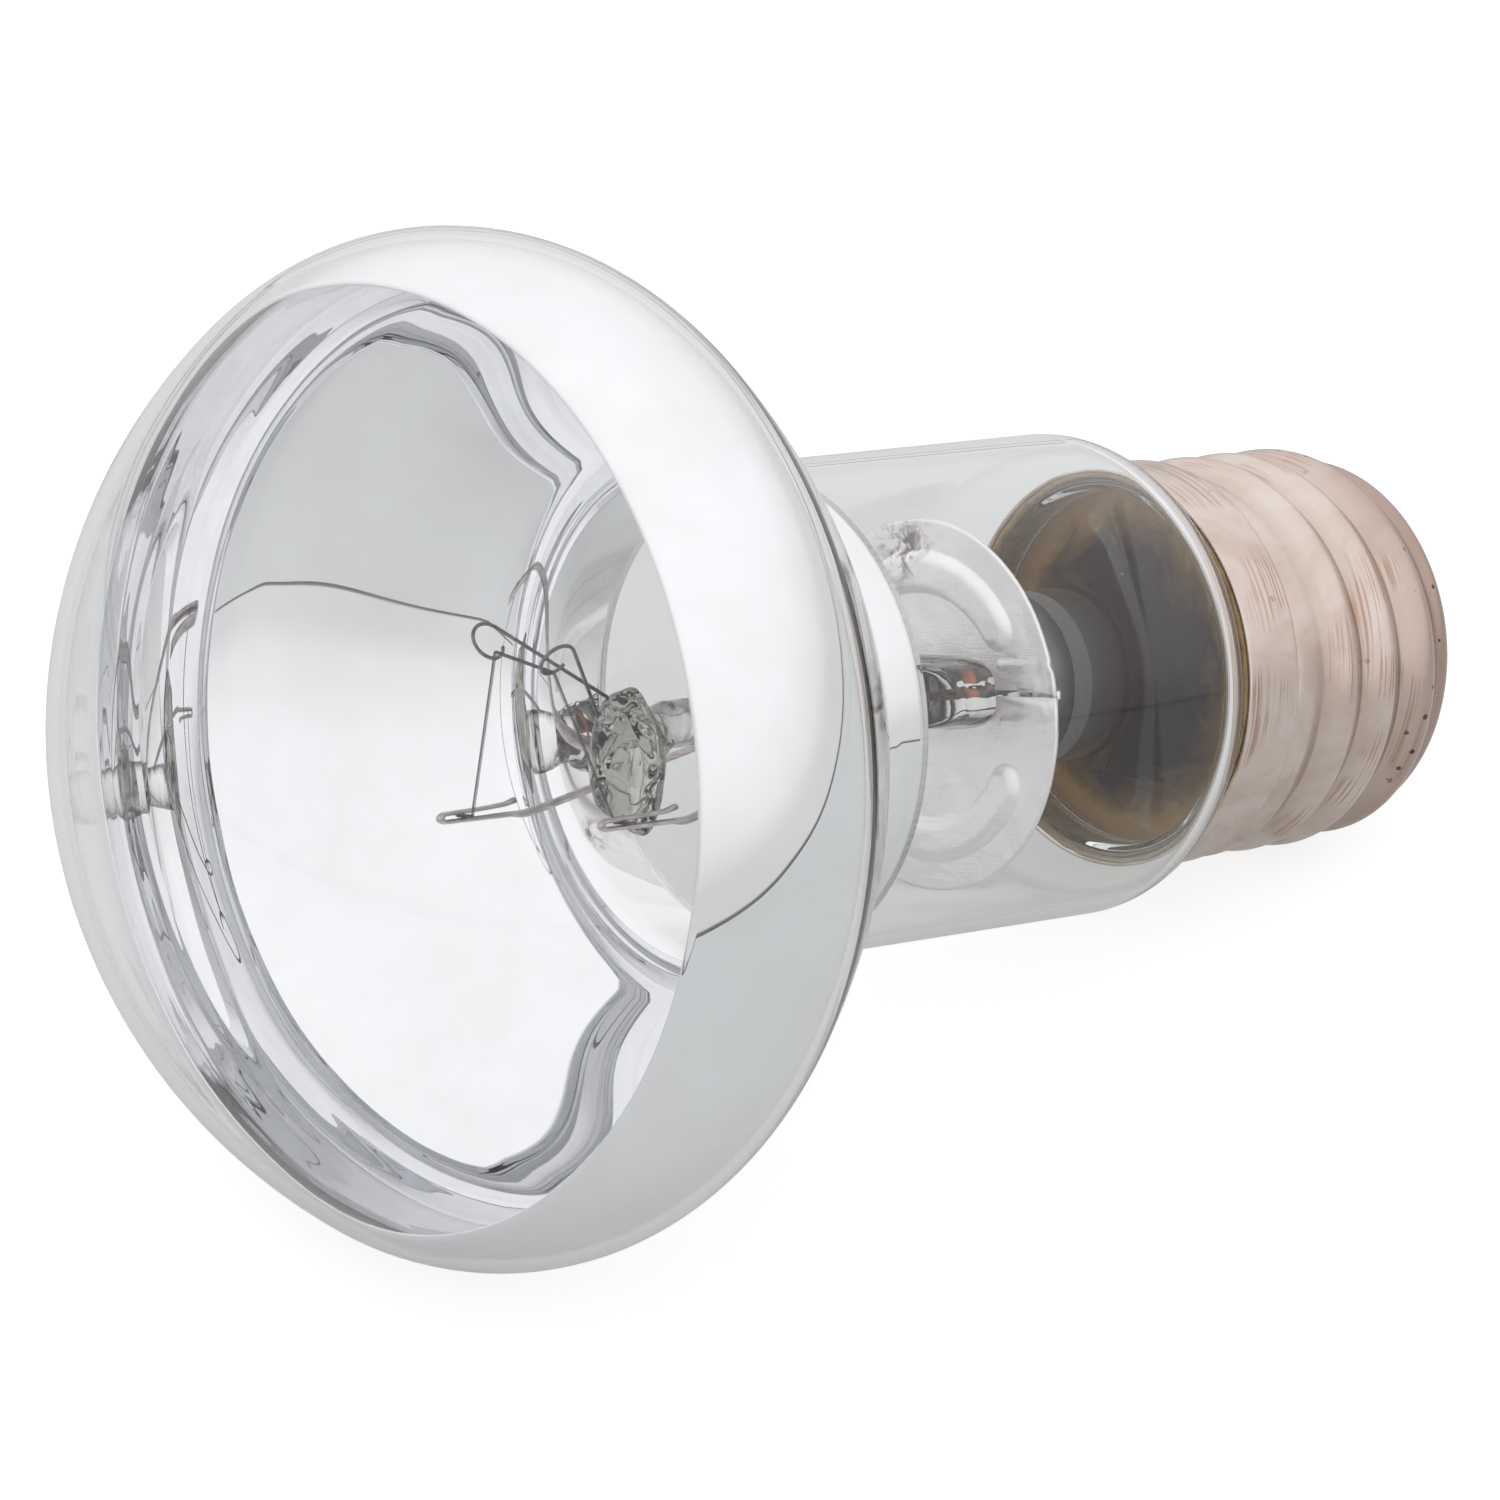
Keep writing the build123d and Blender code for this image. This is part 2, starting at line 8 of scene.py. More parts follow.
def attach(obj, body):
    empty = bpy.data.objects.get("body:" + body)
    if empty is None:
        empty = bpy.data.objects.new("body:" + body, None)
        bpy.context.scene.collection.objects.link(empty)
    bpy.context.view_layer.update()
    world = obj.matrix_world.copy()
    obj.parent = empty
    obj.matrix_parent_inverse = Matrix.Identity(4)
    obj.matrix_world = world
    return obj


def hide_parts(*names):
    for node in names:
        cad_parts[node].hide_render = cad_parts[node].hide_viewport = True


# Reflector lamp with a screw cap, dressed round its solids. Pieces are modelled upright in
# millimetres, with the lamp's axis along Z, and then laid down where the lamp rests.
# A station is a distance along the axis, from the tip of the cap towards the face.

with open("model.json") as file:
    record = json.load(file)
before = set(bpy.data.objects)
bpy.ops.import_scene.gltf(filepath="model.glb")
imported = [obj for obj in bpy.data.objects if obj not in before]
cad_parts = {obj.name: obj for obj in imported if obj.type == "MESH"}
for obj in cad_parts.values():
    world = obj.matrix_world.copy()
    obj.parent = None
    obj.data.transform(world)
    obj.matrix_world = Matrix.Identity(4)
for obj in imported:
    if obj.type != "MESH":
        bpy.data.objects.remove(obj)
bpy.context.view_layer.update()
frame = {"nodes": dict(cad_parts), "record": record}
scene = bpy.context.scene
MM = 0.001
UP = Vector((0.0, 0.0, 1.0))

# Cap
CAP_SHEET = 0.3
CONTACT_STATION = 0.9
CONTACT_RADIUS = 4.8
CONTACT_ROUND = 0.2
SOLDER_RADIUS = 3.0
SOLDER_RIPPLE = 0.12
NOSE_RADIUS = 6.2
NOSE_STATION = 1.4
NOSE_ROUND = 0.35
LIP_STATION = 6.0
LIP_OPENING = 10.3
SHELL_END_ROUND = 1.25
INSULATOR_PLUG = 1.2
LEAD_HOLE = 0.3
THREAD_CREST = 13.1
THREAD_DEPTH = 0.95
THREAD_PITCH = 3.62
THREAD_TURNS = 3.15
THREAD_START_ANGLE = 275.0
THREAD_STATION = 8.65
THREAD_TOP_STATION = THREAD_STATION + THREAD_PITCH * THREAD_TURNS
THREAD_RUN_OUT = 1.4
THREAD_FADE = 0.16
THREAD_EASE = 0.8
THREAD_ROUNDNESS = 0.75
SKIRT_STEP = 0.6
BEAD_RADIUS = 0.8
BEAD_LUMPS = 0.18
BEAD_SLUMP = 0.75
BEAD_STRETCH = 1.25
CEMENT_RECESS = 0.12
CEMENT_LUMPS = 0.22
CEMENT_CROWN = 0.12
CEMENT_BEVEL = 0.1
SEAT_GAP = 0.02

# Bulb
GLASS_WALL = 0.8
RIM_RADIUS = 31.75
RIM_ROUND = 10.5
RIM_HEIGHT = 54.7
FACE_RISE = 22.6
BOWL_RADIUS = 62.0
BOWL_ANGLE = 37.6
NECK_RADIUS = 15.6
NECK_FILLET = 4.0
SHOULDER_ROUND = 4.3
SHOULDER_GAP = 0.05
COLLAR_RADIUS = 12.4
COLLAR_FILLET = 1.0
COLLAR_DEPTH = 2.2
COLLAR_EDGE = 0.04
WAVE_DEPTH = 0.03
BULB_IOR = 1.33

# Mirror film
FILM = 0.12
FILM_GAP = 0.015
FILM_FRONT_ANGLE = 43.0
FILM_NECK_REACH = 2.7
FILM_BOWL = (62.0, 43.5)
FILM_FLATTEN = 0.22
FILM_RIPPLE = 0.12

# Stem
STEM_WALL = 0.9
STEM_RADIUS = 5.6
STEM_TUBE = 6.1
STEM_IOR = 1.45
THROAT_ROUND = 1.4
THROAT_DROP = 1.0
SEAL_GAP = 0.03
PINCH_TAPER = 4.0
PINCH_LENGTH = 6.5
PINCH_WIDTH = 13.0
PINCH_THICKNESS = 4.2
PINCH_SQUARENESS = 0.55
PINCH_ROUND = 0.9
EXHAUST_RADIUS = 1.9
EXHAUST_BORE = 1.1
EXHAUST_STATION = 13.45
ROD_RADIUS = 1.5
BUTTON_HEIGHT = 41.5
BUTTON_RADIUS = 2.4
BUTTON_STRETCH = 1.75
BUTTON_DROP = 1.9
BUTTON_LUMPS = 0.26

# Heat shield
SHIELD_RADIUS = 11.9
SHIELD_SHEET = 0.25
SHIELD_DROP = 0.9
SHIELD_SEAT = 2.4
SHIELD_SLIT = 0.4
SHIELD_SLIT_ANGLE = 1.0
SHIELD_START = 1.0
SHIELD_FIT = 0.08
RIDGE_RADIUS = 8.6
RIDGE_WIDTH = 2.6
RIDGE_HEIGHT = 0.6
RIDGE_ARC = 290.0
RIDGE_FLANK = 0.55
CREASE_HEIGHT = 0.18
CREASE_OFFSET = 1.75
CREASE_START = 7.0
CRINKLE = 0.06

# Wires
MOUNT_ROLL = 22.0
LEAD_RADIUS = 0.26
LEAD_SPACING = 7.0
LEAD_SPREAD = 15.0
LEAD_DROP = 5.2
LEAD_REACH = 50.2
LEAD_LEVEL = 6.5
LEAD_STRAIGHT = 2.0
LEAD_BEND = 1.2
HOOK_RADIUS = 0.43
HOOK_RETURN = 5.6
HOOK_OPENING = 0.25
CLAMP_SQUEEZE = 0.42
CLAMP_SPREAD = 0.25
SEAL_DEPTH = 1.5
FILAMENT_RADIUS = 0.12
FILAMENT_RISE = 10.2
FILAMENT_TOP_WIDTH = 5.3
FILAMENT_LEAN = 0.8
FILAMENT_FALL = 1.2
FILAMENT_SET_BACK = 1.4
FILAMENT_TAIL = 0.6
FILAMENT_TUCK = 0.9
COIL_WIRE = 0.035
COIL_PITCH = 0.11
COIL_POINTS = 10
SUPPORT_RADIUS = 0.12
SUPPORT_LOOP = 1.15
SUPPORT_LOOP_ARC = 290.0
SUPPORT_ROOT = 5.0
SUPPORT_STAGGER = 1.0
SUPPORT_FIT = 0.05
SUPPORT_WIND = 0.012

# Studio
FLOOR_SIZE = 3.0
TABLE_REACH = 0.25
TABLE_GLOW = 0.33
TABLE_LIFT = 0.47
TENT_STRENGTH = 1.16
LIGHT_BOUNCES = 10

# Camera, measured in the photograph's frame
CAMERA_AZIMUTH = -40.3
CAMERA_ELEVATION = 31.0
CAMERA_LENS = 192.0
CAMERA_SENSOR = 36.0
CAMERA_OFFSET = (-23.008, -5.329, 520.11)

# Where the lamp lies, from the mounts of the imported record
mounts = {mount["name"]: mount for mount in frame["record"]["mounts"]}
tip = Vector(mounts["end_contact"]["pos_m"])
along = -Vector(mounts["end_contact"]["axis"])
skirt_middle = Vector(mounts["cap_skirt"]["pos_m"])
SKIRT_RADIUS = mounts["cap_skirt"]["dims"]["r_mm"]
SKIRT_LENGTH = mounts["cap_skirt"]["dims"]["length_mm"]
edge_station = (skirt_middle - tip).length / MM + SKIRT_LENGTH / 2
upward = Vector((along.z, 0.0, -along.x))
sideways = Vector((0.0, -1.0, 0.0))
side = sideways * cos(radians(MOUNT_ROLL)) + upward * sin(radians(MOUNT_ROLL))
rise = along.cross(side)
turned_down = Matrix((side, rise, along)).transposed()
lying = Matrix.Translation(tip) @ turned_down.to_4x4()

# Stations and centres that follow from the sizes
root_radius = THREAD_CREST - THREAD_DEPTH
root_low_station = LIP_STATION + SHELL_END_ROUND
root_top_station = THREAD_TOP_STATION + THREAD_RUN_OUT
skirt_station = root_top_station + SKIRT_STEP
skirt_bore = SKIRT_RADIUS - CAP_SHEET
plug_station = root_low_station + INSULATOR_PLUG
rim_station = edge_station + RIM_HEIGHT
rim_centre = RIM_RADIUS - RIM_ROUND
face_lift = FACE_RISE - RIM_ROUND
face_centre = rim_station - (rim_centre**2 - face_lift**2) / (2 * face_lift)
face_radius = rim_station + FACE_RISE - face_centre
face_angle = degrees(atan2(rim_station - face_centre, rim_centre))
fillet_centre = NECK_RADIUS + NECK_FILLET
shoulder_centre = NECK_RADIUS - SHOULDER_ROUND
collar_centre = COLLAR_RADIUS + COLLAR_FILLET
collar_run = collar_centre - shoulder_centre
collar_drop = sqrt((SHOULDER_ROUND + COLLAR_FILLET) ** 2 - collar_run**2)
collar_station = edge_station + SHOULDER_GAP
neck_low_station = collar_station + collar_drop
collar_angle = degrees(atan2(collar_drop, collar_run))
seal_station = edge_station - COLLAR_DEPTH
flare_edge = COLLAR_RADIUS - GLASS_WALL
flare_radius = flare_edge - STEM_RADIUS
tube_station = seal_station + flare_radius
taper_station = tube_station + STEM_TUBE
pinch_station = taper_station + PINCH_TAPER
pinch_top_station = pinch_station + PINCH_LENGTH
shield_station = pinch_station + SHIELD_SEAT
button_station = edge_station + BUTTON_HEIGHT
hook_station = edge_station + LEAD_REACH
clamp_station = hook_station - FILAMENT_SET_BACK
clamp_rise = HOOK_RADIUS - LEAD_DROP
filament_rise = clamp_rise + FILAMENT_RISE


def bowl_fit(radius, angle):
    """Centre and station of a bowl between rim and neck, its angle at the neck and the neck's top."""
    reach = radius - RIM_ROUND
    centre = rim_centre - reach * cos(radians(angle))
    station = rim_station + reach * sin(radians(angle))
    drop = sqrt((radius + NECK_FILLET) ** 2 - (fillet_centre - centre) ** 2)
    return centre, station, degrees(atan2(drop, fillet_centre - centre)), station - drop


neck_top_station = bowl_fit(BOWL_RADIUS, BOWL_ANGLE)[3]


# Shaping helpers


def eased(value):
    """Eases a value from 0 to 1."""
    value = min(max(value, 0.0), 1.0)
    return value * value * (3.0 - 2.0 * value)


def arc(centre, radius, start, end, count):
    """Points of radius and station along an arc, from one angle to another."""
    turns = [radians(start + (end - start) * step / count) for step in range(count + 1)]
    return [(centre[0] + radius * cos(turn), centre[1] + radius * sin(turn)) for turn in turns]


def run(start, end, count):
    """Points of radius and station along a straight stretch."""
    shares = [step / count for step in range(count + 1)]
    return [(start[0] + (end[0] - start[0]) * t, start[1] + (end[1] - start[1]) * t) for t in shares]


def turned(name, outline, steps=96, start=0.0, sweep=360.0):
    """Spins an outline of radius and station points round the lamp's axis."""
    facing = Vector((cos(radians(start)), sin(radians(start)), 0.0))
    bpy.ops.object.select_all(action="DESELECT")
    bpy.ops.mesh.primitive_plane_add(size=1.0, location=facing * outline[0][0] + UP * outline[0][1])
    bpy.ops.object.transform_apply(location=True, rotation=False, scale=False)
    piece = bpy.context.object
    piece.name = name
    bpy.ops.object.mode_set(mode="EDIT")
    bpy.ops.mesh.select_all(action="SELECT")
    bpy.ops.mesh.merge(type="CENTER")
    for here, there in zip(outline, outline[1:]):
        step = facing * (there[0] - here[0]) + UP * (there[1] - here[1])
        bpy.ops.mesh.extrude_vertices_move(TRANSFORM_OT_translate={"value": step})
    bpy.ops.mesh.select_all(action="SELECT")
    bpy.ops.mesh.spin(steps=steps, angle=-radians(sweep), center=(0, 0, 0), axis=(0, 0, 1))
    bpy.ops.mesh.select_all(action="SELECT")
    bpy.ops.mesh.remove_doubles(threshold=0.002)
    bpy.ops.mesh.normals_make_consistent(inside=False)
    bpy.ops.object.mode_set(mode="OBJECT")
    bpy.ops.object.shade_smooth()
    return piece


def pressed(piece, form):
    """Moves each point of an upright piece to the place that its form gives."""
    for point in piece.data.vertices:
        point.co = form(*point.co)
    piece.data.update()


def walled(piece, thickness, offset=-1.0, inner_finish=0):
    """Gives a sheet its thickness, and its inner wall another finish if one is named."""
    bpy.ops.object.select_all(action="DESELECT")
    piece.select_set(True)
    bpy.context.view_layer.objects.active = piece
    wall = piece.modifiers.new("wall", "SOLIDIFY")
    wall.thickness = thickness
    wall.offset = offset
    wall.material_offset = inner_finish
    bpy.ops.object.modifier_apply(modifier=wall.name)


def wire(name, route, radius, roundness=3):
    """Round wire along a route of close points."""
    bpy.ops.object.select_all(action="DESELECT")
    bpy.ops.curve.primitive_nurbs_path_add(location=(0, 0, 0))
    piece = bpy.context.object
    piece.name = name
    line = piece.data
    line.splines.clear()
    spline = line.splines.new("POLY")
    spline.points.add(len(route) - 1)
    for point, place in zip(spline.points, route):
        point.co = (*place, 1.0)
    line.dimensions = "3D"
    line.bevel_depth = radius
    line.bevel_resolution = roundness
    line.use_fill_caps = True
    bpy.ops.object.convert(target="MESH")
    bpy.ops.object.mode_set(mode="EDIT")
    bpy.ops.mesh.select_all(action="SELECT")
    bpy.ops.mesh.remove_doubles(threshold=0.0005)
    bpy.ops.mesh.normals_make_consistent(inside=False)
    bpy.ops.object.mode_set(mode="OBJECT")
    bpy.ops.object.shade_smooth()
    return bpy.context.object


def joined(first, *others):
    """Makes several meshes one piece."""
    bpy.ops.object.select_all(action="DESELECT")
    for piece in (first, *others):
        piece.select_set(True)
    bpy.context.view_layer.objects.active = first
    bpy.ops.object.join()
    return first


def rounded(points, bend, count=6):
    """Route through straight runs, with each corner rounded by a curve."""
    route = [points[0]]
    for before, corner, after in zip(points, points[1:], points[2:]):
        inward = (before - corner).normalized()
        outward = (after - corner).normalized()
        start = corner + inward * min(bend, (before - corner).length * 0.45)
        end = corner + outward * min(bend, (after - corner).length * 0.45)
        for step in range(count + 1):
            t = step / count
            route.append(start * (1 - t) ** 2 + corner * 2 * t * (1 - t) + end * t * t)
    route.append(points[-1])
    return route


def finished(piece, material, slot, *nodes):
    """Lays a piece down where the lamp rests, dresses it, parents it to the root body and hides the solids
    it stands for.
    """
    bpy.ops.object.select_all(action="DESELECT")
    piece.select_set(True)
    bpy.context.view_layer.objects.active = piece
    piece.matrix_world = lying @ Matrix.Scale(MM, 4)
    bpy.ops.object.transform_apply(location=True, rotation=True, scale=True)
    if material:
        piece.data.materials.clear()
        piece.data.materials.append(material)
    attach(piece, "root")
    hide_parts(*nodes)


# Node helpers


def node(tree, kind, inputs=None, **settings):
    """Adds a node with its settings, and sets or links its inputs."""
    made = tree.nodes.new(kind)
    for name, value in settings.items():
        setattr(made, name, value)
    for name, value in (inputs or {}).items():
        if isinstance(value, bpy.types.NodeSocket):
            tree.links.new(value, made.inputs[name])
        else:
            made.inputs[name].default_value = value
    return made


def ramp(tree, value, *stops):
    """Turns a value into a colour through stops of place and grey or colour."""
    made = node(tree, "ShaderNodeValToRGB", {"Fac": value})
    band = made.color_ramp
    while len(band.elements) < len(stops):
        band.elements.new(0.5)
    for element, (place, colour) in zip(band.elements, stops):
        element.position = place
        element.color = (*colour, 1.0) if isinstance(colour, tuple) else (colour, colour, colour, 1.0)
    return made.outputs["Color"]


def lamp_place(tree, stretch=(1.0, 1.0, 1.0)):
    """Place on the upright lamp in millimetres, stretched for patterns that run one way."""
    place = node(tree, "ShaderNodeTexCoord").outputs["Object"]
    upright = node(
        tree,
        "ShaderNodeMapping",
        {
            "Vector": place,
            "Location": tip,
            "Rotation": turned_down.to_euler(),
            "Scale": (MM, MM, MM),
        },
        vector_type="TEXTURE",
    )
    if stretch == (1.0, 1.0, 1.0):
        return upright.outputs["Vector"]
    pulled = node(tree, "ShaderNodeMapping", {"Vector": upright.outputs["Vector"], "Scale": stretch})
    return pulled.outputs["Vector"]


def clouds(tree, place, scale, detail=3.0, roughness=0.55, twist=0.0):
    """Soft noise over the surface."""
    made = node(
        tree,
        "ShaderNodeTexNoise",
        {"Vector": place, "Scale": scale, "Detail": detail, "Roughness": roughness, "Distortion": twist},
    )
    return made.outputs["Fac"]


def math(tree, operation, first, second=0.5, clamp=False):
    """One step of arithmetic on values."""
    made = node(tree, "ShaderNodeMath", {0: first, 1: second}, operation=operation, use_clamp=clamp)
    return made.outputs["Value"]


def share_of(tree, value, start, end, course="LINEAR"):
    """How far a value is from a start to an end, from 0 to 1."""
    made = node(
        tree,
        "ShaderNodeMapRange",
        {"Value": value, "From Min": start, "From Max": end},
        interpolation_type=course,
    )
    return made.outputs["Result"]


def mixed(tree, share, first, second):
    """Mixes two colours by a mask."""
    made = node(tree, "ShaderNodeMix", {"Factor": share, "A": first, "B": second}, data_type="RGBA")
    return made.outputs["Result"]


def new_group(name, inputs, outputs):
    """Starts a shader node group with named inputs and outputs."""
    tree = bpy.data.node_groups.new(name, "ShaderNodeTree")
    for label, kind in inputs:
        tree.interface.new_socket(label, in_out="INPUT", socket_type=kind)
    for label, kind in outputs:
        tree.interface.new_socket(label, in_out="OUTPUT", socket_type=kind)
    return tree, tree.nodes.new("NodeGroupInput").outputs, tree.nodes.new("NodeGroupOutput").inputs


def placed(tree, group, inputs):
    """Places a node group in a material with its own values."""
    return node(tree, "ShaderNodeGroup", inputs, node_tree=group).outputs


def speck_group():
    """Small round specks or pits of uneven size, one in each cell of a drawn share."""
    tree, given, out = new_group(
        "scattered_specks",
        [
            ("Place", "NodeSocketVector"),
            ("Spacing", "NodeSocketFloat"),
            ("Radius", "NodeSocketFloat"),
            ("Share", "NodeSocketFloat"),
        ],
        [("Mask", "NodeSocketFloat")],
    )
    cells = node(
        tree,
        "ShaderNodeTexVoronoi",
        {"Vector": given["Place"], "Scale": math(tree, "DIVIDE", 1.0, given["Spacing"])},
        feature="F1",
    )
    reach = math(tree, "DIVIDE", given["Radius"], given["Spacing"])
    lot = node(tree, "ShaderNodeSeparateColor", {"Color": cells.outputs["Color"]}).outputs
    size = math(tree, "MULTIPLY", reach, math(tree, "ADD", math(tree, "MULTIPLY", lot["Green"], 0.9), 0.4))
    dot = share_of(tree, cells.outputs["Distance"], size, math(tree, "MULTIPLY", size, 0.6), "SMOOTHSTEP")
    kept = math(tree, "LESS_THAN", lot["Red"], given["Share"])
    tree.links.new(math(tree, "MULTIPLY", dot, kept), out["Mask"])
    return tree


specks = speck_group()


def new_material(name):
    """Starts a node material with only its output."""
    material = bpy.data.materials.new(name)
    material.use_nodes = True
    tree = material.node_tree
    tree.nodes.clear()
    return material, tree, tree.nodes.new("ShaderNodeOutputMaterial")


def bumped(tree, height, distance):
    """Normal from a height, where a height of one stands out by a distance in metres."""
    return node(tree, "ShaderNodeBump", {"Height": height, "Distance": distance}).outputs["Normal"]


def glass_finish(tree, out, body, shade):
    """Glass that lets light through to what is behind it."""
    path = node(tree, "ShaderNodeLightPath")
    clear = node(tree, "ShaderNodeBsdfTransparent", {"Color": shade})
    blend = node(
        tree,
        "ShaderNodeMixShader",
        {0: path.outputs["Is Shadow Ray"], 1: body.outputs["BSDF"], 2: clear.outputs["BSDF"]},
    )
    tree.links.new(blend.outputs["Shader"], out.inputs["Surface"])


def opaque_finish(tree, out, colour, roughness, normal, metallic=1.0):
    """Bare metal, or another solid surface, with its own colour, roughness and relief."""
    body = node(
        tree,
        "ShaderNodeBsdfPrincipled",
        {"Base Color": colour, "Metallic": metallic, "Roughness": roughness, "Normal": normal},
    )
    tree.links.new(body.outputs["BSDF"], out.inputs["Surface"])


def station_mask(tree, station, start, end):
    """Eases from 0 to 1 between two stations."""
    return share_of(tree, station, start, end, "SMOOTHSTEP")


# Finishes


def clear_glass():
    """Blown glass: faint green-grey, a little hazy where it was touched."""
    material, tree, out = new_material("blown_glass")
    touched = clouds(tree, lamp_place(tree), 0.06, 0.0)
    tone = ramp(tree, touched, (0.35, (0.972, 0.982, 0.978)), (0.65, (0.982, 0.988, 0.986)))
    haze = ramp(tree, touched, (0.6, 0.0), (0.8, 0.04))
    body = node(
        tree,
        "ShaderNodeBsdfPrincipled",
        {"Base Color": tone, "Roughness": haze, "IOR": BULB_IOR, "Transmission Weight": 1.0},
    )
    glass_finish(tree, out, body, (0.94, 0.96, 0.95, 1.0))
    return material


def mirror_film():
    """Silvery vapour film with a few faint stains."""
    material, tree, out = new_material("mirror_film")
    stain = clouds(tree, lamp_place(tree), 0.12, 3.0, 0.6)
    tone = ramp(tree, stain, (0.4, (0.87, 0.875, 0.89)), (0.75, (0.82, 0.82, 0.83)))
    haze = ramp(tree, stain, (0.55, 0.0), (0.8, 0.05))
    body = node(tree, "ShaderNodeBsdfPrincipled", {"Base Color": tone, "Metallic": 1.0, "Roughness": haze})
    tree.links.new(body.outputs["BSDF"], out.inputs["Surface"])
    return material


def stem_glass():
    """Drawn and pressed glass, greyer than the bulb and lumpy where it was melted, with painted shade in its
    button and along the edges of its melted lumps.
    """
    material, tree, out = new_material("stem_glass")
    place = lamp_place(tree)
    station = node(tree, "ShaderNodeSeparateXYZ", {"Vector": place}).outputs["Z"]
    height = share_of(tree, station, seal_station, button_station)
    length = button_station - seal_station
    tube = (tube_station - seal_station) / length
    pinch = (pinch_station - seal_station) / length
    drawn = (0.95, 0.94, 0.935)
    # Painted shade: the button's darker tint stands in for dark refraction in its melted glass
    tone = ramp(tree, height, (0.9, drawn), (0.95, (0.5, 0.5, 0.45)))
    haze = ramp(
        tree, height, (0.04, 0.02), (tube, 0.08), (tube + 0.1, 0.3), (pinch - 0.06, 0.5), (pinch, 0.0)
    )
    melted = ramp(tree, height, (pinch - 0.15, 0.0), (pinch, 0.3), (0.88, 0.3), (0.94, 1.0))
    lumps = math(tree, "MULTIPLY", clouds(tree, place, 0.42, 1.0, 0.5, 0.6), melted)
    relief = bumped(tree, lumps, 0.001)
    # Painted shade: the base colour goes near-black where melted lumps turn edge-on, standing in for dark
    # refraction lines
    slant = node(tree, "ShaderNodeLayerWeight", {"Blend": 0.5, "Normal": relief}).outputs["Facing"]
    painted_contour_share = ramp(tree, slant, (0.3, 0.0), (0.65, 1.0))
    edge = math(tree, "MULTIPLY", painted_contour_share, ramp(tree, melted, (0.2, 0.0), (0.3, 1.0)))
    body = node(
        tree,
        "ShaderNodeBsdfPrincipled",
        {
            "Base Color": mixed(tree, edge, tone, (0.05, 0.05, 0.045, 1.0)),
            "Roughness": haze,
            "IOR": STEM_IOR,
            "Transmission Weight": 1.0,
            "Normal": relief,
        },
    )
    glass_finish(tree, out, body, (0.88, 0.89, 0.88, 1.0))
    return material


def shield_sheet():
    """Stamped aluminium: pale, satin, with rolling lines, dents and a burnt patch."""
    material, tree, out = new_material("shield_sheet")
    place = lamp_place(tree)
    rolled = clouds(tree, lamp_place(tree, (1.0, 9.0, 1.0)), 0.9, 3.0, 0.6)
    dull = clouds(tree, place, 0.22, 3.0, 0.6, 0.4)
    tone = ramp(tree, dull, (0.3, (0.85, 0.83, 0.83)), (0.7, (0.95, 0.93, 0.925)))
    spot = (-1.0, 9.2, shield_station)
    away = node(tree, "ShaderNodeVectorMath", {0: place, 1: spot}, operation="DISTANCE").outputs["Value"]
    near = share_of(tree, away, 3.0, 1.2)
    patchy = ramp(tree, clouds(tree, place, 0.9, 4.0, 0.7, 0.8), (0.45, 0.0), (0.6, 1.0))
    burnt = math(tree, "MULTIPLY", near, patchy)
    colour = mixed(tree, burnt, tone, (0.24, 0.21, 0.22, 1.0))
    rough = ramp(tree, dull, (0.3, 0.38), (0.7, 0.48))
    dents = math(tree, "ADD", math(tree, "MULTIPLY", rolled, 0.15), clouds(tree, place, 0.45, 2.0, 0.5, 0.5))
    opaque_finish(tree, out, colour, rough, bumped(tree, dents, 0.00018))
    return material


def wire_metal(name, light, dark, least, most):
    """Drawn wire with lengthwise streaks and a dull skin."""
    material, tree, out = new_material(name)
    streaks = clouds(tree, lamp_place(tree, (3.0, 3.0, 0.6)), 1.6, 3.0, 0.6)
    tone = ramp(tree, streaks, (0.3, dark), (0.7, light))
    rough = ramp(tree, streaks, (0.3, most), (0.7, least))
    opaque_finish(tree, out, tone, rough, bumped(tree, streaks, 0.00003))
    return material


